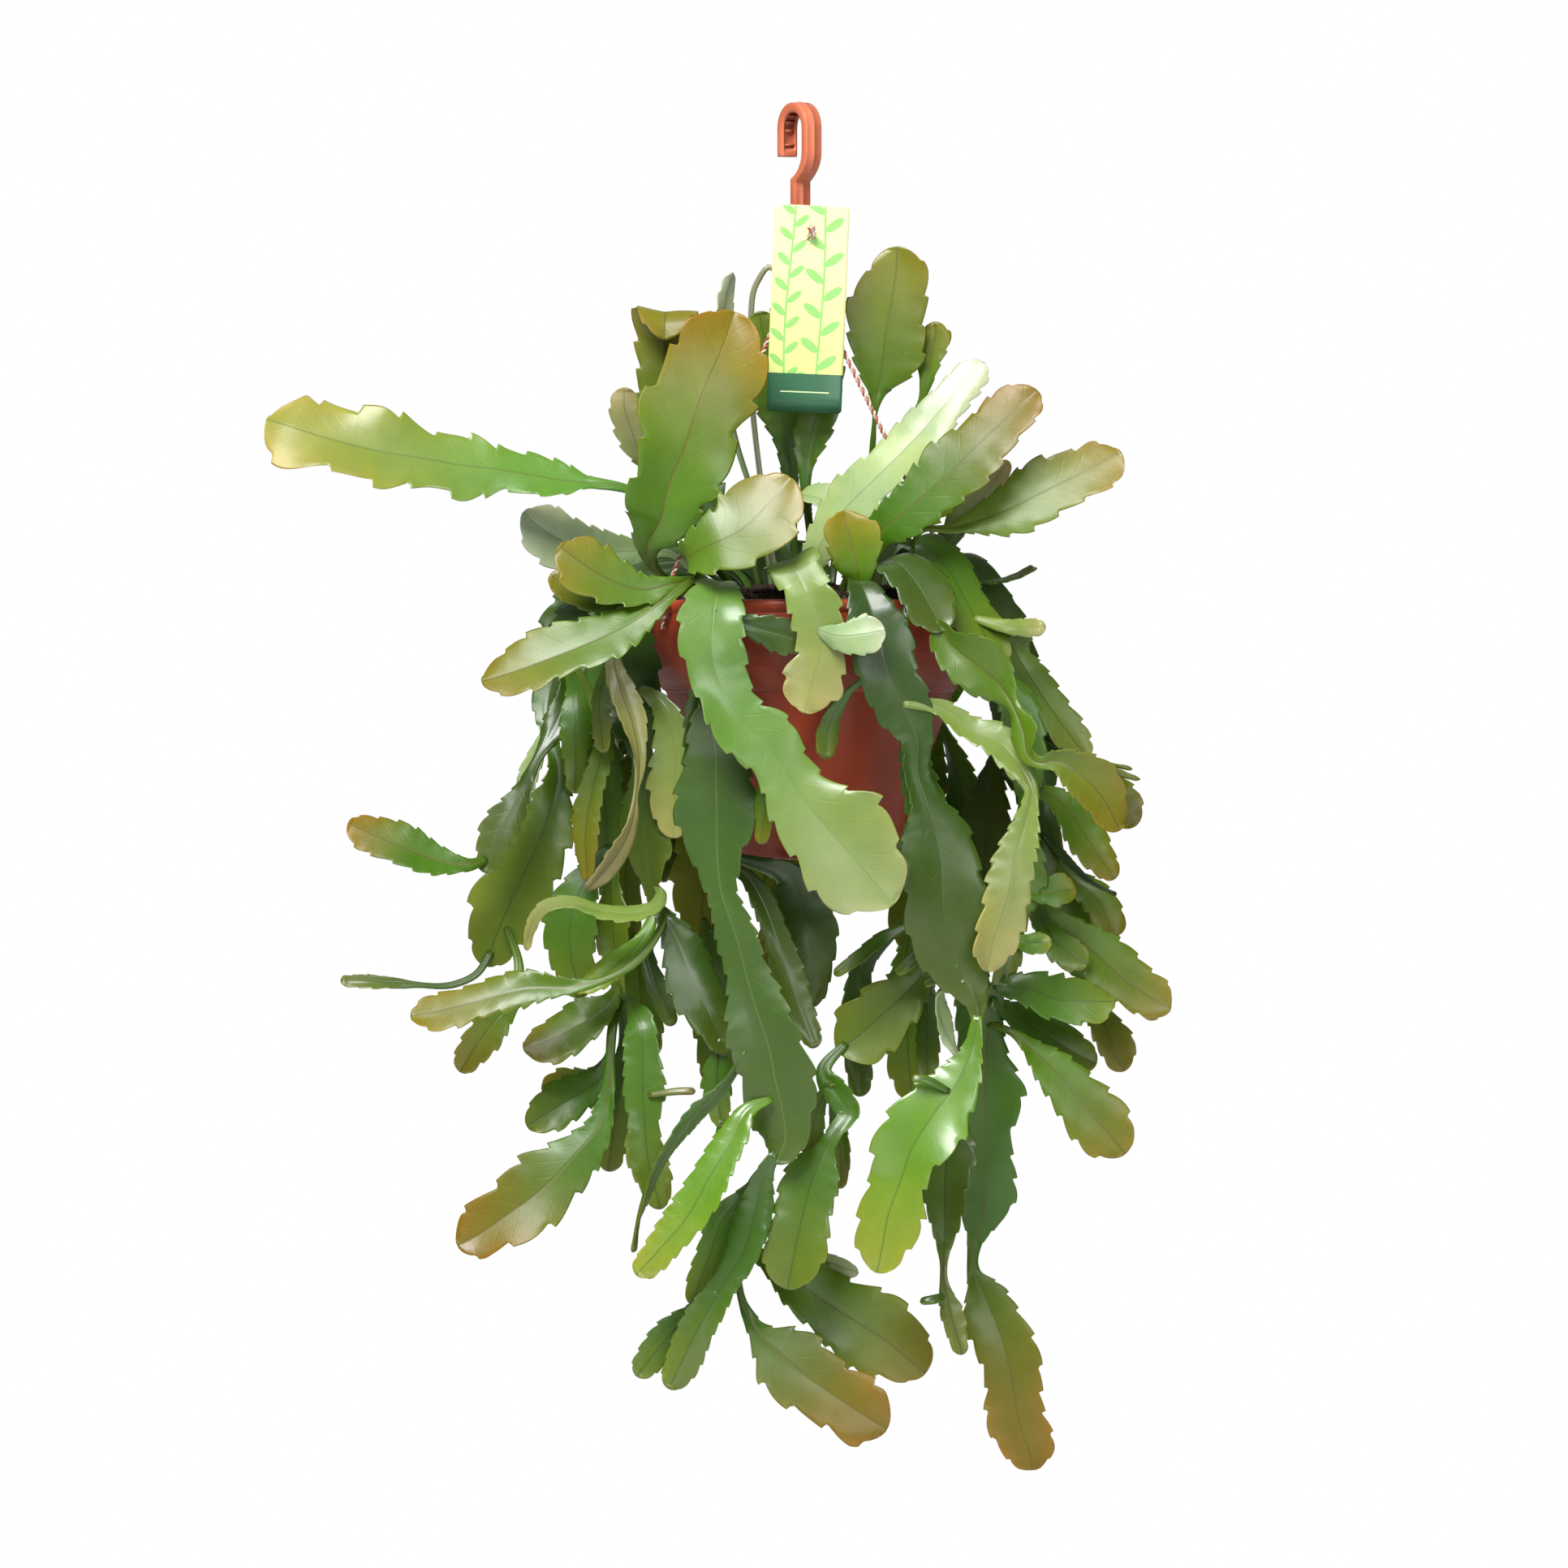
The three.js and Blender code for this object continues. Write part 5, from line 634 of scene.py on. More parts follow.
    blade([[-95, -46, -464, 4], [-99, -36, -475, 12], [-108, -32, -482, 21], [-121, -31, -490, 24],
      [-136, -30, -500, 14]], [0, -0.9, 0.35]),
    blade([[-94, -42, -456, 4], [-98, -30, -468, 5], [-106, -20, -475, 10], [-118, -18, -478, 13],
      [-129, -17, -482, 8]], [0, -0.85, 0.5]),
    blade([[-90, -30, -438, 4], [-88, -28, -458, 6], [-90, -28, -478, 13], [-93, -28, -500, 19],
      [-96, -28, -522, 12]], [-0.2, -0.95, 0.1]),
    blade([[-96, -22, -362, 4], [-108, -30, -380, 20], [-115, -33, -402, 28], [-113, -33, -422, 24],
      [-108, -32, -436, 14]], [-0.3, -0.95, 0.1]),
    blade([[-76, -67, -484, 3], [-60, -70, -482, 4], [-53, -70, -482, 4]], [0, -0.9, 0.4]),
  ]),
  ("stem_left_outer", "mid", [-30, 34], [
    blade([[-56, 34, -221, 8], [-86, 26, -226, 20], [-104, 14, -244, 29], [-114, 2, -268, 26],
      [-116, -6, -284, 10], [-120, -14, -298, 15], [-132, -22, -321, 5], [-140, -26, -338, 14],
      [-150, -30, -357, 20], [-157, -32, -375, 11]], [-0.2, -0.95, 0.1]),
    blade([[-115, -3, -276, 5], [-112, -26, -288, 12], [-112, -32, -304, 16], [-112, -34, -320, 14],
      [-112, -34, -336, 8]], [-0.2, -0.95, 0.1]),
    blade([[-114, 0, -270, 4], [-104, -28, -290, 5], [-98, -40, -308, 9], [-103, -44, -331, 14],
      [-107, -46, -357, 14], [-106, -46, -379, 7]], [-0.3, -0.95, 0.1]),
    blade([[-156, -31, -368, 4], [-164, -36, -371, 7], [-180, -38, -369, 19], [-198, -40, -362, 26],
      [-212, -40, -356, 24], [-224, -40, -350, 16]], [0, -0.85, 0.5]),
  ]),
  ("stem_left_behind", "mid", [-22, 46], [
    blade([[-52, 50, -218, 8], [-84, 44, -224, 20], [-108, 34, -244, 29], [-122, 24, -272, 29],
      [-127, 16, -296, 12], [-124, 8, -312, 8], [-121, 2, -324, 12], [-125, -4, -345, 25],
      [-135, -8, -369, 41], [-146, -8, -393, 38], [-153, -7, -410, 28], [-157, -6, -421, 18]],
      [-0.1, -0.95, 0.2], wave=0.8),
    blade([[-154, -7, -414, 4], [-161, -12, -425, 4], [-172, -14, -430, 4], [-192, -16, -430, 4],
      [-206, -17, -429, 10], [-218, -17, -428, 11], [-228, -17, -428, 7]], [0, -0.8, 0.6]),
    blade([[-146, -8, -402, 4], [-140, -24, -422, 5], [-142, -30, -438, 8], [-150, -33, -446, 16],
      [-159, -34, -457, 19], [-169, -34, -473, 11]], [0, -0.95, 0.2]),
    blade([[-126, 14, -304, 4], [-132, 14, -318, 10], [-136, 14, -330, 11], [-137, 14, -341, 7]],
      [-0.2, -0.95, 0.1]),
  ]),
  ("stem_back_1", "dark", [58, 40], [
    blade([[74, 56, -220, 10], [88, 66, -232, 24], [96, 72, -256, 32], [98, 74, -286, 30],
      [96, 72, -312, 9], [92, 70, -336, 26], [90, 68, -366, 34], [88, 66, -396, 28], [86, 64, -416, 14]],
      [0.7, 0.7, 0.1]),
    blade([[94, 72, -320, 4], [108, 60, -334, 16], [114, 54, -356, 26], [116, 52, -384, 24],
      [116, 50, -404, 15]], [0.8, 0.5, 0.2]),
    blade([[88, 66, -402, 4], [84, 62, -432, 22], [84, 60, -462, 30], [86, 58, -494, 26],
      [88, 56, -516, 16]], [0.6, 0.8, 0.1]),
  ]),
  ("stem_back_2", "mid", [40, 52], [
    blade([[52, 76, -214, 12], [60, 92, -222, 30], [66, 102, -246, 38], [68, 106, -278, 32],
      [66, 104, -304, 9], [60, 102, -330, 28], [56, 100, -362, 36], [54, 98, -392, 30],
      [52, 96, -414, 15]], [0.5, 0.85, 0.1], wave=0.8),
    blade([[66, 104, -298, 4], [76, 98, -322, 16], [80, 96, -348, 28], [78, 96, -376, 28],
      [76, 94, -398, 16]], [0.6, 0.8, 0.2]),
    blade([[54, 98, -400, 4], [50, 92, -428, 20], [52, 88, -458, 28], [54, 86, -488, 18]],
      [0.4, 0.9, 0.1]),
  ]),
  ("stem_back_3", "bronze", [22, 60], [
    blade([[28, 84, -206, 14], [34, 104, -204, 34], [38, 120, -220, 40], [40, 128, -246, 34],
      [40, 130, -268, 20]], [0.2, 0.8, 0.55], fold=0.12),
    blade([[22, 61, -232, 4], [28, 84, -236, 6], [34, 94, -262, 26], [34, 92, -294, 34],
      [30, 90, -326, 24], [26, 88, -348, 8], [14, 86, -368, 24], [0, 84, -390, 32], [-10, 82, -412, 26],
      [-16, 80, -430, 15]], [0.2, 0.95, 0.1]),
    blade([[28, 88, -342, 4], [44, 80, -352, 14], [58, 76, -366, 24], [68, 74, -382, 16]],
      [0.5, 0.8, 0.2]),
  ]),
  ("stem_back_4", "mid", [-4, 50], [
    blade([[-10, 74, -212, 10], [-7, 92, -214, 28], [-4, 106, -236, 36], [-4, 110, -266, 36],
      [-2, 110, -296, 26], [0, 108, -320, 7], [2, 108, -346, 24], [0, 108, -378, 34], [-4, 108, -408, 28],
      [-6, 106, -428, 16]], [0, 0.97, 0.2], wave=0.8),
    blade([[0, 108, -318, 4], [-12, 114, -338, 14], [-18, 118, -362, 26], [-20, 118, -388, 16]],
      [-0.3, 0.9, 0.2]),
  ]),
  ("stem_back_5", "bright", [-8, 62], [
    blade([[-16, 72, -218, 6], [-26, 88, -224, 24], [-34, 98, -244, 34], [-40, 102, -272, 34],
      [-42, 102, -298, 10], [-44, 100, -324, 26], [-48, 98, -356, 36], [-50, 96, -388, 30],
      [-52, 94, -412, 15]], [-0.3, 0.95, 0.1], wave=0.8),
    blade([[-42, 102, -294, 4], [-56, 100, -312, 16], [-64, 98, -336, 28], [-68, 96, -362, 24],
      [-70, 94, -380, 14]], [-0.5, 0.85, 0.2]),
    blade([[-50, 96, -398, 4], [-44, 92, -426, 20], [-42, 90, -456, 28], [-42, 88, -482, 17]],
      [-0.1, 0.97, 0.1]),
  ]),
  ("stem_back_6", "mid", [-34, 58], [
    blade([[-52, 74, -216, 8], [-66, 82, -228, 26], [-76, 84, -252, 34], [-80, 84, -282, 30],
      [-80, 82, -306, 9], [-84, 78, -332, 26], [-88, 74, -362, 32], [-88, 70, -392, 26],
      [-86, 68, -412, 15]], [-0.6, 0.8, 0.1]),
    blade([[-80, 82, -302, 4], [-94, 70, -318, 14], [-102, 62, -342, 24], [-104, 58, -368, 22],
      [-104, 56, -386, 14]], [-0.8, 0.6, 0.2]),
    blade([[-88, 70, -398, 4], [-82, 62, -424, 18], [-80, 58, -452, 26], [-80, 56, -478, 16]],
      [-0.5, 0.85, 0.1]),
  ]),
  ("stem_back_upright_left", "bronze", [-22, 20], [
    blade([[-30, 28, -210, 6], [-46, 36, -192, 18], [-56, 42, -174, 34], [-60, 48, -152, 38],
      [-58, 52, -132, 32], [-54, 54, -118, 22]], [-0.2, 0.95, 0.2], fold=0.14),
  ]),
  ("stem_back_upright_right", "bronze", [32, 32], [
    blade([[40, 38, -212, 6], [54, 44, -198, 20], [66, 50, -184, 32], [78, 56, -170, 30],
      [86, 60, -160, 20]], [0.3, 0.9, 0.3], fold=0.14),
  ]),
  ("stem_back_fan_left", "bright", [-12, 38], [
    blade([[-24, 52, -212, 6], [-36, 66, -202, 22], [-46, 78, -192, 34], [-54, 90, -186, 32],
      [-60, 98, -186, 20]], [-0.2, 0.6, 0.8], fold=0.12),
  ]),
  ("stem_back_fan_right", "mid", [14, 42], [
    blade([[18, 58, -212, 8], [22, 74, -204, 24], [26, 88, -198, 36], [30, 102, -196, 32],
      [32, 112, -198, 20]], [0.1, 0.8, 0.6], fold=0.12),
  ]),
]

print("leafy stems")
bladeForm = {
    "thickness": 2.2,            # at the midrib, mm
    "groove": 0.55,              # depth of the groove in the midrib, mm
    "toothDepth": (0.13, 0.23),  # of the half width, least and most
    "toothPitch": 0.36,          # of the width, at the least depth
    "pitchRange": (8.0, 24.0),
    "pitchVaries": (0.86, 1.14),
    "halfOn": (0.42, 0.58),      # of a pitch, from a notch on the left to the next on the right
    "columns": (0.4, 0.76, 0.96, 1.0),  # points across a half outside the midrib
    "rowSpacing": 1.35,
    "stalkSpacing": 2.6,
    "stalkRadius": 1.2,
    "leastWidth": 2.2,
    "rounding": 0.55,            # length of the round end, of the last width
    "sway": 1.9,                 # height of the slow waves in a blade, mm
    "swell": 0.1,                # of the half width
    "lobeLift": 0.22,            # height of the wave between two notches, mm
    "phases": 6.3,               # range of the waves' starts
    "rooted": (-252, -233),      # a first blade's lowest stations
}

# Body, tip and midrib colours of each look.
bladeLooks = {
    "g": ((60, 98, 12), (100, 112, 20), (60, 84, 22)),
    "d": ((42, 70, 6), (72, 86, 12), (62, 86, 24)),
    "D": ((58, 86, 28), (66, 88, 26), (90, 110, 52)),
    "k": ((66, 92, 26), (100, 104, 34), (62, 76, 30)),
    "o": ((72, 104, 8), (122, 104, 20), (86, 82, 20)),
    "b": ((58, 96, 6), (130, 92, 14), (92, 84, 20)),
    "A": ((74, 112, 10), (136, 98, 14), (106, 88, 24)),
    "B": ((78, 110, 24), (128, 106, 34), (90, 88, 32)),
    "h": ((66, 108, 8), (116, 106, 16), (90, 92, 20)),
    "z": ((72, 114, 4), (136, 110, 10), (104, 88, 14)),
    "l": ((92, 134, 26), (138, 142, 42), (82, 108, 34)),
    "L": ((82, 126, 38), (150, 134, 56), (88, 106, 40)),
    # The pale look p is partly the blades' own pale tone and partly painted sheen: its light cream-green
    # stands in for the light these blades reflect.
    "p": ((140, 164, 112), (166, 172, 152), (130, 148, 106)),
    "y": ((108, 132, 58), (156, 146, 90), (126, 136, 76)),
    "Y": ((80, 118, 44), (138, 146, 90), (112, 134, 66)),
    "m": ((84, 110, 34), (128, 104, 44), (90, 92, 38)),
    "n": ((124, 128, 76), (132, 118, 80), (106, 98, 60)),
    "t": ((86, 98, 22), (104, 80, 28), (80, 76, 30)),
    "w": ((152, 158, 134), (118, 104, 40), (124, 126, 98)),
}

# How waxy the looks are that shine more or less than most.
usualShine = 0.55
bladeShine = {"p": 0.6, "y": 0.9, "Y": 0.9, "l": 0.8, "L": 0.7, "o": 0.15, "B": 0.1, "b": 0.12, "A": 0.2,
              "h": 0.2, "m": 0.1, "z": 0.2, "n": 0.4}

# One look for each blade, in the order of the table.
stemLooks = {
    "stem_upright_left": "A", "stem_long_left": "L", "stem_folded_left": "on", "stem_pale_edge": "p",
    "stem_thin_arch": "w", "stem_front_left": "Booonk", "stem_pale_left": "p",
    "stem_behind_label_left": "g", "stem_behind_label_right": "gp", "stem_upright_right": "hh",
    "stem_pale_right": "p", "stem_broad_right": "b", "stem_pale_stripe": "m", "stem_front_wavy": "yp",
    "stem_front_chain": "YdhDglgggdd", "stem_front_right": "zdlykgpggg",
    "stem_right_drape": "doggggdgoo", "stem_right_arch": "gmygohlgbgo", "stem_right_side": "dgkdkkdogg",
    "stem_right_behind": "dooo", "stem_left_inner": "dyolddygbop", "stem_left_middle": "gogbgokgt",
    "stem_left_outer": "dgob", "stem_left_behind": "gkop", "stem_back_1": "dgg", "stem_back_2": "ggl",
    "stem_back_3": "bog", "stem_back_4": "gl", "stem_back_5": "hgg", "stem_back_6": "gdo",
    "stem_back_upright_left": "b", "stem_back_upright_right": "o", "stem_back_fan_left": "h",
    "stem_back_fan_right": "g",
}


def stationCurve(stations, spacing):
    # Cubics between stations, with slopes weighted by the distances to the neighbours.
    stations = np.asarray(stations, float)
    chords = np.linalg.norm(np.diff(stations[:, :3], axis=0), axis=1)
    knots = np.concatenate([[0], np.cumsum(chords)])
    chordSlopes = np.diff(stations, axis=0) / chords[:, None]
    slopes = np.empty_like(stations)
    slopes[0], slopes[-1] = chordSlopes[0], chordSlopes[-1]
    before, after = chords[:-1, None], chords[1:, None]
    slopes[1:-1] = (chordSlopes[1:] * before + chordSlopes[:-1] * after) / (before + after)
    s = np.linspace(0, knots[-1], int(np.ceil(knots[-1] / spacing)) + 1)
    i = np.clip(np.searchsorted(knots, s, side="left") - 1, 0, len(chords) - 1)
    u = ((s - knots[i]) / chords[i])[:, None]
    return cubic(u, chords[i][:, None], stations[i], stations[i + 1], slopes[i], slopes[i + 1])


def bladeFrames(stations, face, twist):
    # The way across is square to the way the face looks at the tip, and is carried back to the base
    # without turning about the blade, then twisted evenly by the angle given.
    samples = stationCurve(stations, 2.0)
    points = samples[:, :3]
    ways = np.empty_like(points)
    ways[1:-1] = points[2:] - points[:-2]
    ways[0], ways[-1] = points[1] - points[0], points[-1] - points[-2]
    ways = unit(ways)
    lengths = distances(points)
    across = frameAlong(ways[::-1], np.cross(ways[-1], face))[0][::-1]
    turn = np.radians(twist) * (1 - lengths / lengths[-1])[:, None]
    across = across * np.cos(turn) + np.cross(ways, across) * np.sin(turn)
    return points, ways, across, lengths, samples[:, 3]


def kept(points):
    # Points near the limits of the CAD model's box are eased back, so that none passes them.
    points = points.copy()
    for k, ease in enumerate((2.5, 6.5, 2.5)):
        low, high = cadBox[0][k] / mm, cadBox[1][k] / mm
        over = np.maximum(points[..., k] - (high - ease), 0)
        under = np.maximum(low + ease - points[..., k], 0)
        points[..., k] += 0.96 * ease * (np.tanh(over / ease) - np.tanh(under / ease)) - over + under
    return points


def toothShare(s, starts, pitches, depth):
    # How much of the width a margin loses: it swells in a curve from each notch to the next tooth's
    # point, and drops back over 5% of the pitch. Gives the share and the place between two notches.
    i = np.clip(np.searchsorted(starts, s, side="right") - 1, 0, len(starts) - 1)
    place = np.clip((s - starts[i]) / pitches[i], 0, 1)
    place = np.where(s < starts[0], 1.0, place)
    return depth * (1 - place) ** 1.7 * np.clip(place / 0.05, 0, 1) ** 0.8, place


def toothNotches(length, rounding, widthAt, lobes, random):
    # Notches up the left margin, and about half a pitch on from each of them up the right.
    form = bladeForm
    pitchShare = form["toothPitch"] + 1.5 * (lobes - form["toothDepth"][0])
    notches = []
    s = form["pitchRange"][0] * random.uniform(0.4, 1.0)
    while s < length - 0.25 * rounding:
        pitch = float(np.clip(pitchShare * widthAt(s), *form["pitchRange"]))
        pitch = pitch * random.uniform(*form["pitchVaries"])
        notches.append((s, pitch))
        s += pitch
    starts, pitches = np.array(notches).T
    halfOn = starts + pitches * random.uniform(*form["halfOn"], len(starts))
    return (starts, pitches), (halfOn, np.append(np.diff(halfOn), pitches[-1]))


def bladeRows(length, rounding, widthAt, notches):
    # Rows lie close together on the blade and further apart on the stalk, with two at each notch.
    form = bladeForm
    fine = np.linspace(0, length, int(length * 2) + 2)
    gap = np.where(widthAt(fine) > 7, form["rowSpacing"], form["stalkSpacing"])
    gap = np.where(fine > length - rounding, form["rowSpacing"] * 0.6, gap)
    rowCount = np.concatenate([[0], np.cumsum(np.diff(fine) / gap[1:])])
    rows = np.interp(np.linspace(0, rowCount[-1], int(rowCount[-1]) + 3), rowCount, fine)
    notches = notches[(notches < length - 0.4) & (widthAt(notches) > 6)]
    last = length - 0.12 * min(1, rounding / 4)
    rows = np.sort(np.concatenate([rows[:-1], notches - 0.02, notches + 0.3, [last]]))
    return rows[np.concatenate([[True], np.diff(rows) > 0.015])]


def bladeHeights(s, length, half, leafy, fractions, reach, point, fold, wave, lobes, random):
    # The middle of a blade is a fold that rises to the margins, a wave along them, slow waves of its
    # own and a low one between notches. Its thickness is round on the stalk and thin on the blade,
    # with a midrib that has a groove on top. Gives the heights of the top and the underside.
    form = bladeForm
    opening = 1 + 0.8 * np.sin(s / 16 + 500 * lobes)
    folded = (np.sqrt(reach ** 2 + 0.015) - 0.12) * fold * opening * half
    beat = np.sin(2 * np.pi * s / 55 + np.sign(fractions))
    ripple = wave * beat * np.minimum(1, half / 12) * reach ** 2
    phase = random.uniform(0, form["phases"], 3)
    lift = form["lobeLift"] * leafy * np.sin(2 * np.pi * point) * np.abs(reach) ** 3
    sway = lift + form["sway"] * leafy * (
        np.sin(s / 13 + phase[0]) * reach ** 2 * 0.7
        + np.sin(s / 21 + phase[1] + 1.4 * reach) * np.abs(reach)
        + 0.16 * np.sin(s / 6.5 + phase[2] + 2.5 * reach) * reach ** 2)
    middle = folded + ripple + sway

    taper = np.minimum(1, 0.6 + 2 * (length - s) / length)
    rib = np.exp(-(reach * half / 0.9) ** 2)
    stalk = np.sqrt(np.clip(1 - fractions ** 2, 0, 1)) * np.minimum(form["stalkRadius"], half)
    leaf = (0.5 * (1 - np.minimum(1, np.abs(reach)) ** 4) + 0.06) * taper
    leaf = leaf + (form["thickness"] / 2 - 0.5) * rib * taper
    thick = stalk * (1 - leafy) + leaf * leafy
    thick[:, [0, -1]] = 0
    groove = form["groove"] * rib * leafy * taper
    closing = np.minimum(1, np.sqrt(np.clip((length - s) / 2.5, 0, 1)))
    return middle + thick * closing - groove * closing, middle - thick * closing


def bladeColours(look, height, edge, point, leafy, random):
    # The body's colour goes over to the tip's up the blade, soonest at the margins, and is darker at
    # the base. Zones hold how near the margin a point is, the blade's shine and a spot at each notch.
    body, tip, ribTint = (np.array(shade(*colour)[:3]) for colour in bladeLooks[look])
    warmth = random.uniform(-1, 1)
    body = body * (1 + 0.07 * warmth * np.array([1.2, 0.7, 0.4]))
    towardTip = smoothStep(height, 0.42, 1.12) ** 1.3
    share = np.clip(towardTip * (0.75 + 0.35 * edge ** 2), 0, 1)[..., None]
    tint = body * (1 - share) + tip * share
    tint = tint * (0.82 + 0.18 * smoothStep(height, 0.0, 0.4))[..., None]
    spot = np.exp(-(point / 0.05) ** 2) * (edge > 0.99) * leafy
    shine = 0.8 * bladeShine.get(look, usualShine) + 0.2 * random.random()
    zones = np.stack([edge * leafy, np.full(edge.shape, shine), spot], -1)
    return {"tint": tint, "ribTint": ribTint * (0.85 + 0.15 * share), "zones": zones}


def bladeShape(shape, blade, look, seed):
    # A blade is rows of a closed section, with 11 points over the top and 9 back below. Fractions
    # are a point's place across, from -1 to 1, and reach is that place after swells and teeth.
    stations, face, twist, fold, wave = blade
    random = np.random.default_rng(seed)
    form = bladeForm
    points, ways, across, lengths, widths = bladeFrames(stations, face, twist)
    length = lengths[-1]
    rounding = max(1.5, form["rounding"] * stations[-1][3])

    def widthAt(s):
        over = np.clip((s - (length - rounding)) / rounding, 0, 1)
        full = np.maximum(form["leastWidth"], np.interp(s, lengths, widths))
        return full * np.sqrt(np.clip(1 - over ** 2, 0, 1))

    lobes = random.uniform(*form["toothDepth"])
    margins = toothNotches(length, rounding, widthAt, lobes, random)
    rows = bladeRows(length, rounding, widthAt, np.concatenate([starts for starts, _ in margins]))
    s = rows[:, None]
    width = widthAt(s)
    half = width / 2
    leafy = smoothStep(width, 5, 11)       # 0 on a stalk, 1 on a blade

    ribShare = np.minimum(0.24, 1.1 / half)
    outer = np.broadcast_to(form["columns"], (len(rows), len(form["columns"])))
    fractions = np.concatenate([-outer[:, ::-1], -ribShare, 0 * ribShare, ribShare, outer], 1)
    left = fractions < 0
    shares = [toothShare(s, *margin, lobes * leafy) for margin in margins]
    lost, point = (np.where(left, *pair) for pair in zip(*shares))
    sides = random.uniform(0, form["phases"], 2)
    swell = np.where(left, np.sin(s / 7.5 + sides[0]), np.sin(s / 8.5 + sides[1]))
    swell = form["swell"] * leafy * swell * np.minimum(1, (length - s) / 12)
    reach = fractions * (1 + swell * fractions ** 2) * (1 - lost * np.abs(fractions) ** 3)
    top, under = bladeHeights(s, length, half, leafy, fractions, reach, point, fold, wave, lobes, random)

    def along(values):
        return np.stack([np.interp(rows, lengths, values[:, k]) for k in range(3)], -1)

    at, way, side = along(points), unit(along(ways)), unit(along(across))
    up = unit(np.cross(side, way))
    there = np.arange(fractions.shape[1])
    order = np.concatenate([there, there[-2:0:-1]])
    heights = np.concatenate([top, under[:, -2:0:-1]], 1)
    x = (reach * half)[:, order]
    rings = at[:, None] + side[:, None] * x[..., None] + up[:, None] * heights[..., None]
    carried = bladeColours(look, s / length, np.abs(fractions)[:, order], point[:, order], leafy, random)
    grain = np.stack(np.broadcast_arrays(x / 10, s / 10), -1)
    shape.tube(kept(rings + plantShift), blade=grain, **carried)
    return len(rows)


def leafFinish():
    leaf = Finish("leaf skin", IOR=1.42, Coat_IOR=1.6, Coat_Roughness=0.22,
                  Subsurface_Weight=0.1, Subsurface_Scale=0.003)
    leaf.surface.inputs["Subsurface Radius"].default_value = (0.8, 1.0, 0.35)
    place = leaf.objectPlace()
    aside, along = leaf.surfacePlace("blade")
    tint, ribTint = leaf.carried("tint"), leaf.carried("ribTint")
    zones = leaf.node("ShaderNodeSeparateColor", {}, {0: leaf.carried("zones")})
    edge, shine, spot = (Socket(leaf, zones.output.node.outputs[i]) for i in range(3))

    away = abs(aside)
    broad = leaf.noise(place, 28, 3)
    patches = leaf.noise(place, 95, 4)
    fine = leaf.noise(place, 620, 3)
    waxy = leaf.noise(place, 17, 2)
    # side veins leave the midrib every 11 mm and climb to the margin
    climb = along - 1.25 * away ** 0.8 + 0.3 * patches + 0.9 * broad + 3 * shine
    vein = abs((climb / 1.1).wrapped() - 0.5)
    vein = (1 - vein.step(0.0, 0.07)) * away.step(0.03, 0.25) * (1 - edge.step(0.55, 0.95))
    rib = 1 - away.step(0.015, 0.075)

    colour = leaf.tinted(broad.step(0.3, 0.7) * 0.6, tint, (1.28, 1.16, 0.8, 1))
    colour = leaf.tinted(patches.step(0.35, 0.7) * 0.35, colour, (0.72, 0.82, 0.74, 1))
    colour = leaf.tinted(vein * 0.1, colour, (1.25, 1.22, 1.1, 1))
    colour = leaf.mix(rib * 0.7, colour, ribTint)
    colour = leaf.tinted(edge.step(0.93, 1.0) * 0.3, colour, (1.7, 1.15, 0.55, 1))
    colour = leaf.mix(spot * 0.5, colour, (0.6, 0.58, 0.36, 1))
    height = fine * 0.16 + patches * 0.5 - vein * 0.14 - rib * 0.3
    return leaf.use(Base_Color=colour, Roughness=0.3 + 0.16 * patches + 0.1 * broad,
                    Coat_Weight=(0.14 + 0.9 * waxy.step(0.42, 0.62)) * shine,
                    Normal=leaf.bump(height, 0.0006, 0.55))


leafSkin = leafFinish()
rowTotal = 0
for index, (name, tone, root, blades) in enumerate(stems):
    shape = Shape()
    low, high = bladeForm["rooted"]
    for number, (stations, *rest) in enumerate(blades):
        if number == 0:
            stations = [[*root, low, 4], [*root, high, 4], *stations]
        look = stemLooks[name][number]
        rowTotal += bladeShape(shape, (stations, *rest), look, 100 * index + number)
    shape.piece(name.replace("stem_", "leaves_"), leafSkin, "leaf_" + tone, name)
print("rows of leaf surface:", rowTotal)

print("pot and soil")
potForm = {"axisX": 5.0, "rimTop": -240.5, "rimRadius": 80.5, "height": 128.0, "sides": 144,
           "lugRadius": 85.0, "lugAngles": (-30, 90, 210), "lugBore": 1.6}
potCentre = np.array([potForm["axisX"], 0, potForm["rimTop"]])


def potRings():
    # The wall's section is one closed loop of radius and height, carried round the axis: over the
    # rolled rim, down the upper band and its step to the base, and back up the inside.
    r, h = potForm["rimRadius"], potForm["height"]
    outside = [
        (r - 3.7, -1.3), (r - 2.8, -0.3), (r - 1.4, -0.05), (r - 0.2, -0.9), (r + 0.38, -2.8),
        (r + 0.2, -5.0), (r - 0.6, -6.0), (r - 1.0, -6.5), (r - 0.85, -7.2), (r - 0.55, -12),
        (r - 0.1, -19), (r - 0.9, -26), (r - 2.7, -33), (r - 5.4, -39), (r - 7.3, -42.4),
        (r - 7.7, -43.6), (r - 8.1, -44.2), (r - 9.3, -44.7), (r - 9.9, -45.6), (r - 10.4, -47.5),
        (64.8, -62), (56.4, -84), (48.6, -106), (43.0, -122), (42.2, -125.2), (41.6, -127),
        (40.6, -127.8), (39.0, -h), (37.4, -h), (36.4, -127.3), (35.6, -126.4), (20, -126.2),
        (0.4, -126.2)]
    inside = [
        (0.4, -125), (20, -125), (38.4, -124.6), (41.2, -121), (46.4, -106), (54.2, -84),
        (62.6, -62), (67.8, -47.5), (r - 10.6, -43), (r - 8.4, -39), (r - 5.6, -33), (r - 4.2, -26),
        (r - 3.6, -19), (r - 3.5, -9), (r - 3.9, -5), (r - 4.3, -2.6)]
    return lathe(rounded(outside + inside, 0.7, 2, closed=True), potForm["sides"], potCentre)


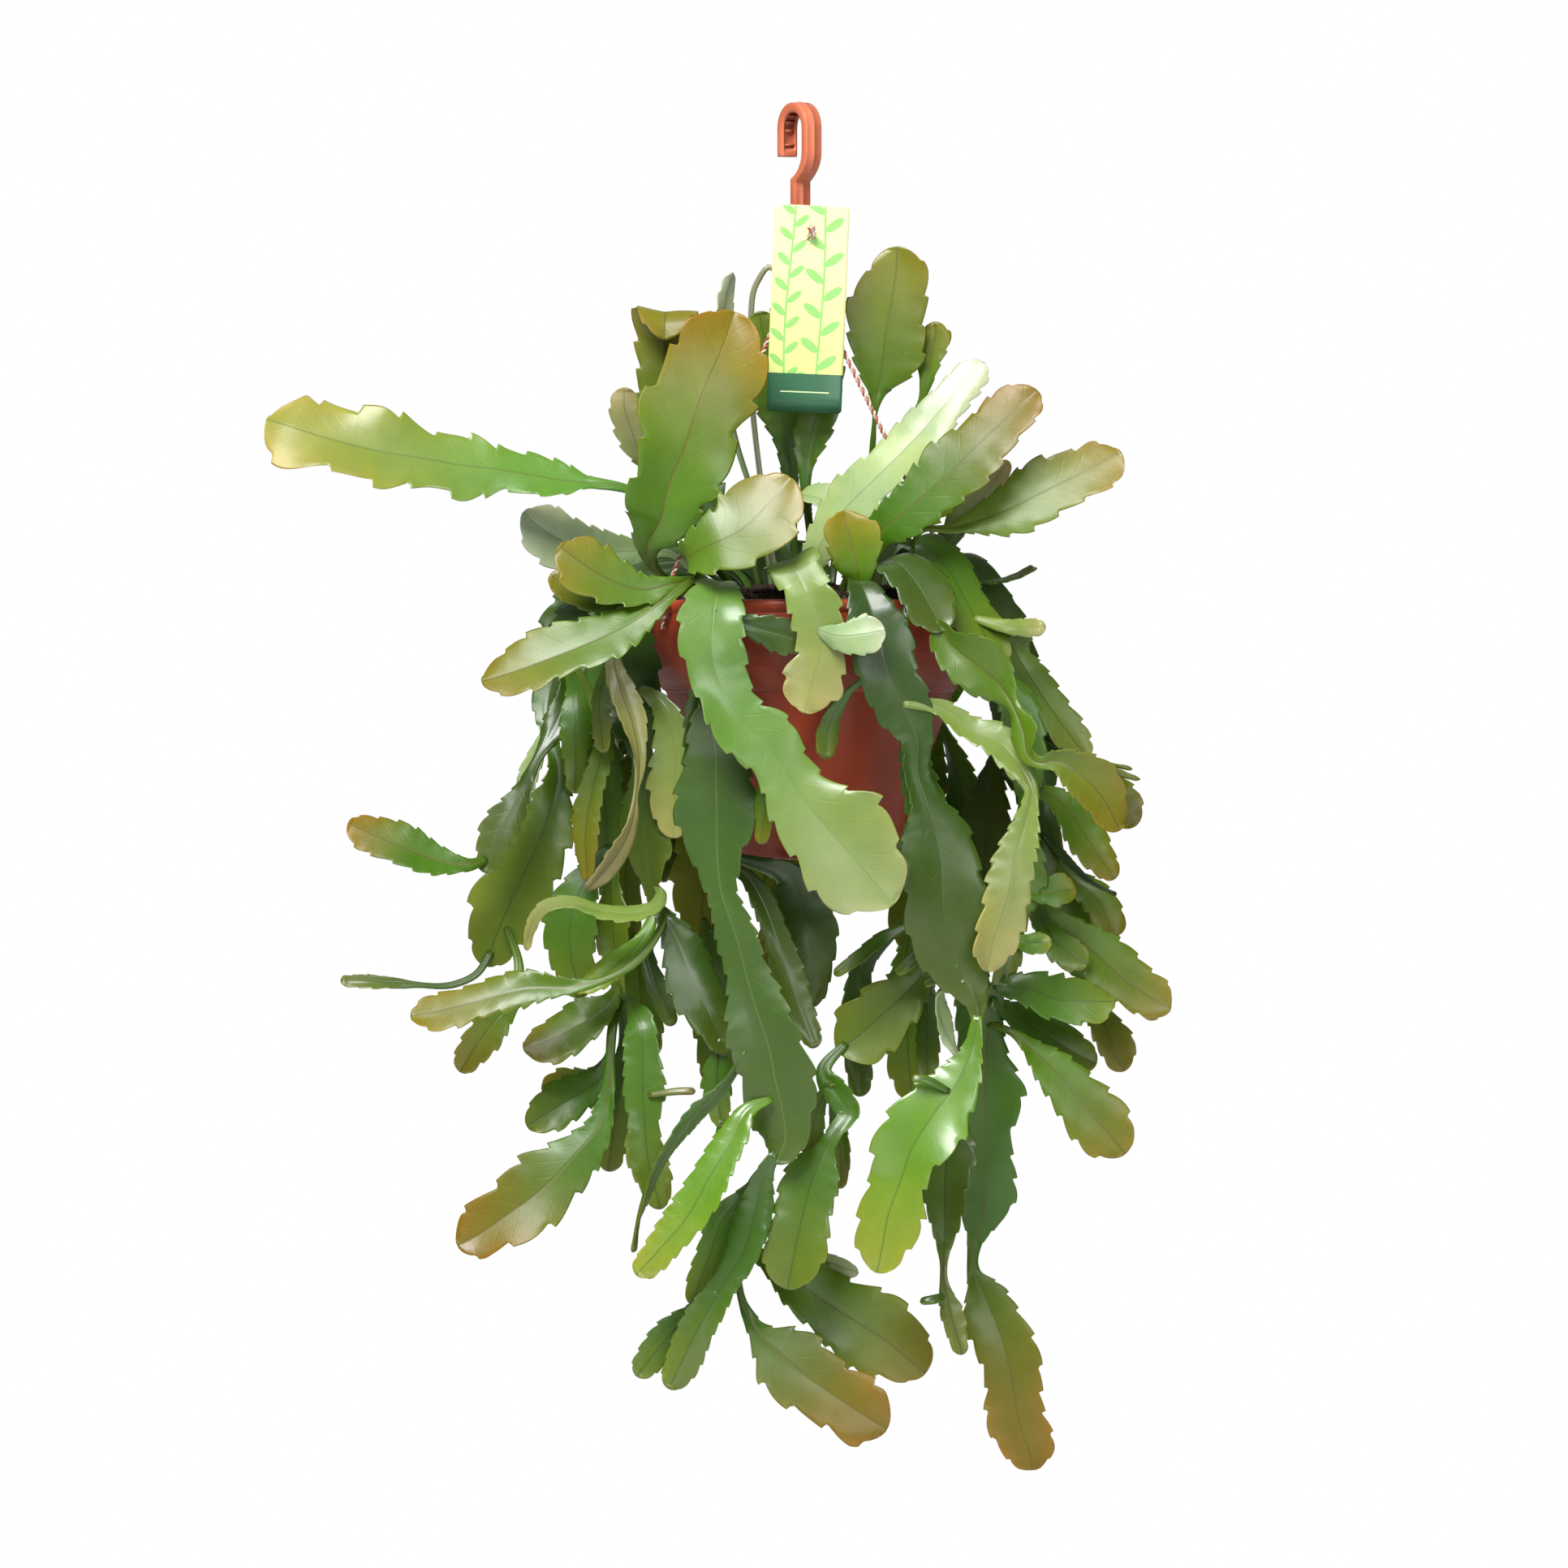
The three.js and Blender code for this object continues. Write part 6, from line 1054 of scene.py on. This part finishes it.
def lugRings(turn):
    # A lug is a block with rounded corners and a round hole down through it: its section is carried
    # once round the hole, from the hole's edge out to the block's outline.
    outline = rounded([(-6.5, -4.4), (3.4, -4.4), (3.4, 4.4), (-6.5, 4.4)], 2.6, 6, closed=True)
    theta = np.arctan2(outline[:, 1], outline[:, 0])
    outline = outline[np.argsort(theta)]
    theta = np.sort(theta)
    hole = np.stack([np.cos(theta), np.sin(theta)], -1) * potForm["lugBore"]
    section = [(0.0, -0.55), (0.0, -4.75), (0.25, -5.1), (0.85, -5.2), (1.0, -4.7), (1.0, -1.3),
               (0.85, -0.8), (0.2, -0.6)]  # share of the way out from the hole, height
    rings = np.stack([np.concatenate([hole + (outline - hole) * share, np.full((len(theta), 1), z)], 1)
                      for share, z in section], 1)
    return spun(rings, turn) + potCentre + spun(np.array([potForm["lugRadius"], 0, 0]), turn)


def plasticFinish(name, light, dark, rough, coat):
    plastic = Finish(name, IOR=1.4, Coat_Weight=coat, Coat_Roughness=0.12)
    place = plastic.objectPlace()
    clouds = plastic.noise(place, 14, 2)
    upright = plastic.node("ShaderNodeMapping", {}, {"Vector": place, "Scale": (90, 90, 900)})
    scuffs = plastic.noise(upright, 1.0, 4)
    dust = plastic.noise(place, 260, 5, 0.7)
    colour = plastic.mix(clouds.step(0.3, 0.7), shade(*dark), shade(*light))
    colour = plastic.mix(dust.step(0.62, 0.8) * 0.14, colour, shade(176, 120, 92))
    return plastic.use(Base_Color=colour, Roughness=rough + 0.1 * scuffs + 0.12 * dust.step(0.5, 0.8),
                       Normal=plastic.bump(dust * 0.3 + clouds, 0.0004, 0.25))


pot = Shape()
pot.band(potRings())
for degrees in potForm["lugAngles"]:
    pot.band(lugRings(math.radians(degrees)))
potPlastic = plasticFinish("pot plastic", (164, 66, 38), (128, 48, 26), 0.36, 0.05)
pot.piece("pot_shell", potPlastic, "pot_plastic", "pot")

soilForm = {
    "top": -236.0,
    "depth": 24.0,
    "reach": 75.8,
    "heap": ([0, 30, 58, 72, 75.8], [1.5, 1.0, -0.5, -3, -6.5]),  # radii, heights over the top
    "lumps": ((0.31, 5, 1, 0.35), (0.53, 11, 2, 0.3), (0.9, 23, 4, 0.25), (1.7, 41, 0.5, 0.2)),
    "rows": 44,
    "sides": 150,
    "crumbs": 1500,
    "crumbSize": (0.9, 2.6),
}


def heapAt(radius):
    return np.interp(radius, *soilForm["heap"]) + soilForm["top"]


def soilRings():
    # Rows run out from the middle over a low heap and back in underneath. The heap's lumps are sums
    # of sines of the radius and the angle.
    reach, surface = soilForm["reach"], soilForm["rows"]
    radius = np.concatenate([np.linspace(0.3, reach - 0.8, surface), [reach, reach, reach - 1, 0.3]])
    height = heapAt(radius)
    height[-3:] = soilForm["top"] - soilForm["depth"] + np.array([1, 0, 0])
    rings = lathe(np.stack([radius, height], -1), soilForm["sides"], (potForm["axisX"], 0, 0))
    angle = np.linspace(0, 2 * np.pi, soilForm["sides"], endpoint=False)
    lumps = sum(np.sin(radius[:, None] * a + angle * b + c) * d for a, b, c, d in soilForm["lumps"])
    lumps[0], lumps[surface:] = 0, 0
    rings[..., 2] += lumps - 0.6
    return rings


def crumbRings(random):
    # A crumb is a ball of four rows of seven points, uneven and squashed, half sunk in the heap.
    size = random.uniform(*soilForm["crumbSize"]) * random.uniform(0.6, 1)
    r = math.sqrt(random.random()) * (soilForm["reach"] - 3)
    turn = random.uniform(0, wholeTurn)
    tilt = np.array([0.5, 1.2, 1.9, 2.6])[:, None]
    fan = np.linspace(0, 2 * np.pi, 7, endpoint=False)
    ball = np.stack([np.sin(tilt) * np.cos(fan), np.sin(tilt) * np.sin(fan), np.cos(tilt) + 0 * fan], -1)
    ball = ball * random.uniform(0.7, 1.3, (4, 7, 1)) * random.uniform(0.6, 1.2, 3) * size
    height = heapAt(r) - 0.4 + 0.2 * size
    return ball + np.array([r * math.cos(turn) + potForm["axisX"], r * math.sin(turn), height])


def soilFinish():
    soil = Finish("compost", Roughness=0.95)
    place = soil.objectPlace()
    grains = soil.noise(place, 420, 5, 0.7)
    flattened = soil.node("ShaderNodeMapping", {}, {"Vector": place, "Scale": (1, 2.5, 6)})
    fibres = soil.noise(flattened, 380, 3)
    colour = soil.mix(grains.step(0.35, 0.7), shade(32, 20, 14), shade(82, 58, 40))
    colour = soil.mix(fibres.step(0.62, 0.72) * 0.5, colour, shade(120, 88, 58))
    return soil.use(Base_Color=colour, Normal=soil.bump(grains + fibres * 0.5, 0.0015, 0.8))


soil = Shape()
soil.tube(soilRings())
random = np.random.default_rng(7)
for _ in range(soilForm["crumbs"]):
    soil.tube(crumbRings(random))
soil.piece("soil_crumbs", soilFinish(), "soil", "soil")

print("hook")
hookForm = {
    "inner": 8.0,        # radius inside the strap's loop
    "strap": 5.0,
    "width": 9.5,
    "tipLeg": 14.0,
    "leg": 12.0,
    "shankX": -1.6,
    "turn": math.radians(-55),
    "hubHeight": -79.0,
    "hubRadius": 8.0,
    "pocket": 0.52,      # share of the strap's thickness
    "pocketRows": ((3, 5), (70, 73)),
    "ribs": 11,
    "ribReach": (8.5, 11.0),
    "ribHalf": (0.45, 3.1),
}


def strapSides():
    # The strap's inner and outer faces in its own plane, row by row: up the free leg, over the
    # crown, down the long leg, in to the shank in a square curve, and down the shank.
    f = hookForm
    i, o, foot = f["inner"], f["inner"] + f["strap"], -f["inner"] - f["leg"]
    near, far = f["shankX"], f["strap"] + f["shankX"]
    arc = np.linspace(np.pi, 0, 49)
    t = np.linspace(0, 1, 15)[1:, None]

    def upright(x, heights):
        return np.stack([np.full(len(heights), x), heights], -1)

    def crown(radius):
        return np.stack([radius * np.cos(arc), -i + radius * np.sin(arc)], -1)

    def bend(a, b, c):
        return (1 - t) ** 2 * np.array(a) + 2 * t * (1 - t) * np.array(b) + t * t * np.array(c)

    free = np.linspace(-i - f["tipLeg"], -i, 15)[:-1]
    down = np.linspace(-i, foot, 13)[1:]
    shank = np.linspace(foot - 15.5, f["hubHeight"] + 3.5, 22)
    inner = [upright(-i, free), crown(i), upright(i, down),
             bend((i, foot), (i - 0.6, foot - 9), (near, foot - 13)), upright(near, shank)]
    outer = [upright(-o, free), crown(o), upright(o, down),
             bend((o, foot), (o, foot - 8), (far, foot - 14.5)), upright(far, shank - 0.6)]
    return np.concatenate(inner), np.concatenate(outer)


def strapRings():
    # The section is a closed loop of (share from inner to outer face, share of the half width). Its
    # pocket is open on the inner side, and a low rib runs down the middle of the outer side.
    f = hookForm
    inner, outer = strapSides()
    row = np.arange(len(inner))
    begin, finish = f["pocketRows"]
    deep = f["pocket"] * smoothStep(row, *begin) * (1 - smoothStep(row, *finish))
    half = [(0.0, 0.60), (0.0, 0.66), (0.0, 0.70), (0.0, 0.90), (0.12, 1.0), (0.84, 1.0),
            (0.93, 0.93), (0.94, 0.80), (0.94, 0.14), (1.0, 0.08)]
    ring = np.array([(share, -y) for share, y in half] + half[::-1])
    share = np.broadcast_to(ring[:, 0], (len(row), len(ring))).copy()
    share[:, [0, -1]] = deep[:, None]
    share[:, [1, -2]] = deep[:, None] * 0.85
    flat = inner[:, None] + (outer - inner)[:, None] * share[..., None]
    across = ring[:, 1] * f["width"] / 2 * (0.9 + 0.1 * smoothStep(row, -1, 1.5)[:, None])
    return spun(np.stack([flat[..., 0], -across, flat[..., 1]], -1), f["turn"])


def ribRings(step):
    # A rib stands across the pocket, square to the strap: step is 0 and 1 where the crown's half
    # circle ends, and beyond them the ribs are on the straight legs.
    f = hookForm
    turn = np.pi * (1 - np.clip(step, 0, 1))
    past = max(0, abs(step - 0.5) - 0.5)
    outward = np.array([math.cos(turn), math.sin(turn)])
    length = np.array([-outward[1], outward[0]])
    near, far = f["ribReach"]
    thick, wide = f["ribHalf"]
    corners = rounded([(near, -thick), (far, -thick), (far, thick), (near, thick)], 0.2, 2, closed=True)
    middle = np.array([0, -f["inner"] - f["inner"] * past / 0.15])
    flat = middle + corners[:, :1] * outward + corners[:, 1:] * length
    return spun(np.stack([np.stack([flat[:, 0], np.full(len(flat), y), flat[:, 1]], -1)
                          for y in (-wide, wide)]), f["turn"])


def hubRings():
    r = hookForm["hubRadius"]
    profile = [(0.2, 5.0), (4.6, 5.0), (r, 1.2), (r, -5), (6.6, -5.0), (6.2, -4.0), (0.2, -4.0)]
    return spun(lathe(rounded(profile, 0.9, 4), 48, (0.9, 0, hookForm["hubHeight"])), hookForm["turn"])


hook = Shape()
hook.tube(strapRings())
for step in np.linspace(-0.15, 1.15, hookForm["ribs"]):
    hook.tube(ribRings(step))
hook.tube(hubRings())
hookPlastic = plasticFinish("hook plastic", (200, 112, 80), (176, 88, 60), 0.34, 0.15)
hook.piece("hook_strap", hookPlastic, "hook_plastic", "hook")

print("cords")
cordForm = {
    "hanger": {"radius": 1.25, "strand": 0.68, "twist": 5.2},
    "tie": {"radius": 0.8, "strand": 0.45, "twist": 3.4},
    "spacing": 0.45,
    "ringSides": 9,
}


def twistedCord(shape, points, kind):
    # Two strands wind round the path: each strand's middle turns once in every twist length.
    size = cordForm[kind]
    places, ways = alongPath(points, cordForm["spacing"])
    sides, ups = frameAlong(ways, (1, 0.2, 0.1))
    s = distances(places)
    around = np.linspace(0, 2 * np.pi, cordForm["ringSides"], endpoint=False)
    for strand in (0, 1):
        turn = (2 * np.pi * s / size["twist"] + np.pi * strand)[:, None]
        out = sides * np.cos(turn) + ups * np.sin(turn)
        middle = places + (size["radius"] - size["strand"]) * out
        other = np.cross(ways, out)
        rings = middle[:, None] + size["strand"] * (
            out[:, None] * np.cos(around)[:, None] + other[:, None] * np.sin(around)[:, None])
        grain = np.stack(np.broadcast_arrays(around / wholeTurn, s[:, None] / 10), -1)
        shape.tube(rings, strands=grain, strandTone=np.full(rings.shape, float(strand)))
    return s[-1]


def knotPath(count, thickness):
    # A tight overhand knot is a trefoil, of sines and cosines of one and two turns, with its last
    # points left off.
    t = np.linspace(0, 2 * np.pi, count)[:-3]
    return np.stack([np.sin(t) + 1.1 * np.sin(2 * t), np.cos(t) - 1.1 * np.cos(2 * t),
                     -thickness * np.sin(3 * t)], -1)


def cordFinish():
    cord = Finish("twisted cord", Roughness=0.85, Sheen_Weight=0.3)
    aside, along = cord.surfacePlace("strands")
    fibre = abs((aside * 9 + along * 11).wrapped() - 0.5)
    fuzz = cord.noise(cord.objectPlace(), 2400, 2)
    colour = cord.mix(cord.carried("strandTone", 2), shade(188, 92, 62), shade(232, 214, 196))
    # The grooves between the fibres, where the bump is lowest, are darkened: painted shade.
    colour = cord.tinted(fibre.step(0.25, 0.5) * 0.5, colour, (0.62, 0.55, 0.5, 1))
    return cord.use(Base_Color=colour, Normal=cord.bump(fibre * -1.0 + fuzz * 0.4, 0.0003, 0.8))


cordSkin = cordFinish()
hubCentre = np.array([0.5, -0.8, hookForm["hubHeight"]])
down = np.array([0, 0, -1.0])
for number, degrees in enumerate(potForm["lugAngles"], 1):
    out = spun(np.array([1.0, 0, 0]), math.radians(degrees))
    start = hubCentre + out * 4.4 + down * 3.0
    lug = potCentre + plantShift + out * potForm["lugRadius"]
    path = [start + (lug - down - start) * t for t in np.linspace(0, 1, 9)[:-1]]
    path += [lug - down, lug + down * 2.4, lug + down * 5.6]
    cord = Shape()
    length = twistedCord(cord, path, "hanger")
    twistedCord(cord, knotPath(40, 0.75) * 0.85 + lug + down * 8.0, "hanger")
    tail = [lug + down * drop + out * aside for drop, aside in ((8.5, 0.6), (11.5, 0.9), (14.5, 0.5))]
    twistedCord(cord, tail, "hanger")
    cord.piece(f"cord_twist_{number}", cordSkin, "cord", f"hanger_cord_{number}")
    print("cord", number, "length in mm:", round(float(length)))

print("label and its tie")
labelForm = {
    "width": 37.0,
    "height": 102.0,
    "thick": 0.64,               # of the rounded card, mm
    "hole": (0.6, 39.3, 1.9),    # place on the card, radius
    "tilt": math.radians(2.3),
    "centre": (4.2, -16.5, -97.3),
    "curl": 1.6,
    "columns": 15,               # from the hole to the outline
    "band": -3.2,                # its upper edge, cm over the card's middle
    "line": (-4.1, 1.2, 0.03),   # height, half length and half width, cm
}


def sprigMask(x, y, middle, sway, period, length, breadth, lean):
    # A stalk that sways up the card, with a leaf on each side at every period of its height: a leaf
    # is where its long and wide places, over their halves, have squares that add up to under 1.
    stalkX = x - middle - ((y / 2.3 + middle).sine() * sway)
    mask = abs(stalkX) < 0.055
    c, s = math.cos(lean), math.sin(lean)
    for way, later in ((1, 0), (-1, 0.5)):
        py = ((y + later * period) / period).wrapped() * period - period * 0.45
        px = stalkX * way - 0.42 * length
        long, wide = px * c + py * s, py * c - px * s
        mask = mask.most(((long / (0.5 * length)) ** 2 + (wide / (0.5 * breadth)) ** 2) < 1.0)
    return mask


def labelFinish():
    card = Finish("label card", Coat_Weight=0.2, Coat_Roughness=0.15)
    x, y = card.surfacePlace("card")
    front = card.carried("printed", 2)
    soft = card.noise(card.objectPlace(), 40, 2)
    left = sprigMask(x, y, -0.95, 0.16, 1.25, 0.85, 0.34, 0.75)
    right = sprigMask(x, y, 0.62, 0.12, 1.7, 1.1, 0.42, 0.65)
    lineHeight, halfLength, halfWidth = labelForm["line"]
    line = (abs(y - lineHeight) < halfWidth) * (abs(x) < halfLength)
    colour = card.mix(y.step(-4.5, 4.5), shade(206, 216, 128), shade(226, 224, 166))
    colour = card.mix(left.most(right) * 0.9, colour, shade(126, 192, 100))
    colour = card.mix(y < labelForm["band"], colour, shade(46, 98, 66))
    colour = card.mix(line, colour, shade(206, 222, 170))
    colour = card.mix(1 - front, colour, shade(246, 244, 226))
    return card.use(Base_Color=colour, Roughness=0.34 + 0.12 * soft)


def labelRings():
    # The card is carried round its hole: along each ray from the hole's edge to the card's outline,
    # over the front, round the rim and back over the rear. It curls a little across its width.
    g = labelForm
    holeX, holeY, holeR = g["hole"]
    w, h = g["width"] / 2, g["height"] / 2
    outline = rounded([(-w, -h), (w, -h), (w, h), (-w, h)], 2.2, 6, closed=True)
    closedLine = np.concatenate([outline, outline[:1]])
    places = distances(closedLine)
    fine = np.sort(np.concatenate([places[:-1], np.arange(0, places[-1], 1.6)]))
    fine = fine[np.concatenate([[True], np.diff(fine) > 1e-3])]
    outline = np.stack([np.interp(fine, places, closedLine[:, k]) for k in range(2)], -1)
    angle = np.arctan2(outline[:, 1] - holeY, outline[:, 0] - holeX)
    hole = np.stack([holeX + holeR * np.cos(angle), holeY + holeR * np.sin(angle)], -1)
    shares = np.linspace(0, 1, g["columns"]) ** 1.2
    out = np.concatenate([shares, shares[::-1]])
    face = np.repeat([-1.0, 1.0], g["columns"])
    flat = hole[:, None] + (outline - hole)[:, None] * out[:, None]
    x, y = flat[..., 0], flat[..., 1]
    bend = g["curl"] * ((x / w) ** 2 - 0.4) * (0.4 + 0.6 * smoothStep(-y, -20, 50)) + 0.8 * np.sin(y / 34)
    depth = face * g["thick"] / 2 + bend
    c, s = math.cos(g["tilt"]), math.sin(g["tilt"])
    placed = np.stack([x * c + y * s, depth, -x * s + y * c], -1) + np.array(g["centre"])
    return placed, flat / 10, np.broadcast_to((face < 0)[:, None] * 1.0, placed.shape)


label = Shape()
rings, grain, printed = labelRings()
label.band(rings, card=grain, printed=printed)
label.piece("label_card", labelFinish(), "label_card", "label")

tieForm = {"centre": (0.5, -0.7, -58), "radius": 6.6, "rise": 0.4, "from": -1.35, "to": -1.79}
tie = Shape()
t = np.linspace(tieForm["from"], 2 * np.pi + tieForm["to"], 30)
loop = tieForm["centre"] + np.stack([tieForm["radius"] * np.cos(t), tieForm["radius"] * np.sin(t),
                                     tieForm["rise"] * np.sin(t)], -1)
holeAt = np.array([6.4, -16.5, -58.0])
front = np.array([5.9, -18.0, -58.2])
tieEnds = [front + (0.3, 0.2, 0), holeAt + (0, 2, 0.2)], [holeAt + (-0.6, 2, -0.2), front]
twistedCord(tie, [*tieEnds[0], *loop, *tieEnds[1]], "tie")
twistedCord(tie, knotPath(34, 0.7)[:, [0, 2, 1]] * 0.72 + front + (0, -0.9, 0), "tie")
for aside, drop in ((-1.8, -5.5), (1.6, -4.6)):
    tail = [(0, -0.9, -0.8), (aside * 0.5, -1.6, drop * 0.5), (aside, -1.2, drop)]
    twistedCord(tie, front + np.array(tail), "tie")
tie.piece("label_tie_twist", cordSkin, "cord", "label_tie")

print("floor and light")
room = {"floor": -0.95, "reach": 8.4, "sides": 96, "pale": (0.84, 0.84, 0.83, 1),
        "seen": 1.0, "sky": 0.24, "ground": 0.03}
floorMesh = bpy.data.meshes.new("floor")
around = np.linspace(0, 2 * np.pi, room["sides"], endpoint=False)
edge = np.stack([room["reach"] * np.cos(around), room["reach"] * np.sin(around),
                 room["floor"] + 0 * around], -1)
floorMesh.from_pydata(edge.tolist(), [], [list(range(room["sides"]))])
floorMesh.materials.append(Finish("pale floor", Base_Color=room["pale"], Roughness=0.9).material)
floor = bpy.data.objects.new("floor", floorMesh)
bpy.context.collection.objects.link(floor)

# The room is seen as plain white, and lights the plant by a sky that is brighter above than below.
world = bpy.data.worlds.new("studio")
world.use_nodes = True
nodes, links = world.node_tree.nodes, world.node_tree.links
coordinates, parts = nodes.new("ShaderNodeTexCoord"), nodes.new("ShaderNodeSeparateXYZ")
grade, seen = nodes.new("ShaderNodeMapRange"), nodes.new("ShaderNodeLightPath")
choose = nodes.new("ShaderNodeMix")
levels = {"From Min": -0.2, "From Max": 0.9, "To Min": room["ground"], "To Max": room["sky"]}
for key, value in levels.items():
    grade.inputs[key].default_value = value
choose.inputs["B"].default_value = room["seen"]
links.new(coordinates.outputs["Generated"], parts.inputs[0])
links.new(parts.outputs["Z"], grade.inputs["Value"])
links.new(seen.outputs["Is Camera Ray"], choose.inputs["Factor"])
links.new(grade.outputs[0], choose.inputs["A"])
links.new(choose.outputs[0], nodes["Background"].inputs["Strength"])
nodes["Background"].inputs["Color"].default_value = (1, 1, 1, 1)
bpy.context.scene.world = world
bpy.context.scene.view_settings.view_transform = "Standard"

lamps = {  # place, aim, size, power
    "key": ((-0.6, -1.5, 1.6), (0, 0, -0.3), 1.3, 105),
    "front": ((0.87, -2.1, 0.2), (0, 0, -0.35), 0.9, 14),
    "back": ((0.3, 1.9, 1.4), (0, 0, -0.3), 1.3, 3.5),
}
for name, (place, aim, size, power) in lamps.items():
    lamp = bpy.data.lights.new(name, "AREA")
    lamp.size, lamp.energy = size, power
    holder = bpy.data.objects.new(name, lamp)
    away = np.array(place) - np.array(aim)
    holder.location = place
    holder.rotation_euler = (math.acos(away[2] / np.linalg.norm(away)), 0, math.atan2(away[0], -away[1]))
    bpy.context.collection.objects.link(holder)

bpy.context.view_layer.update()
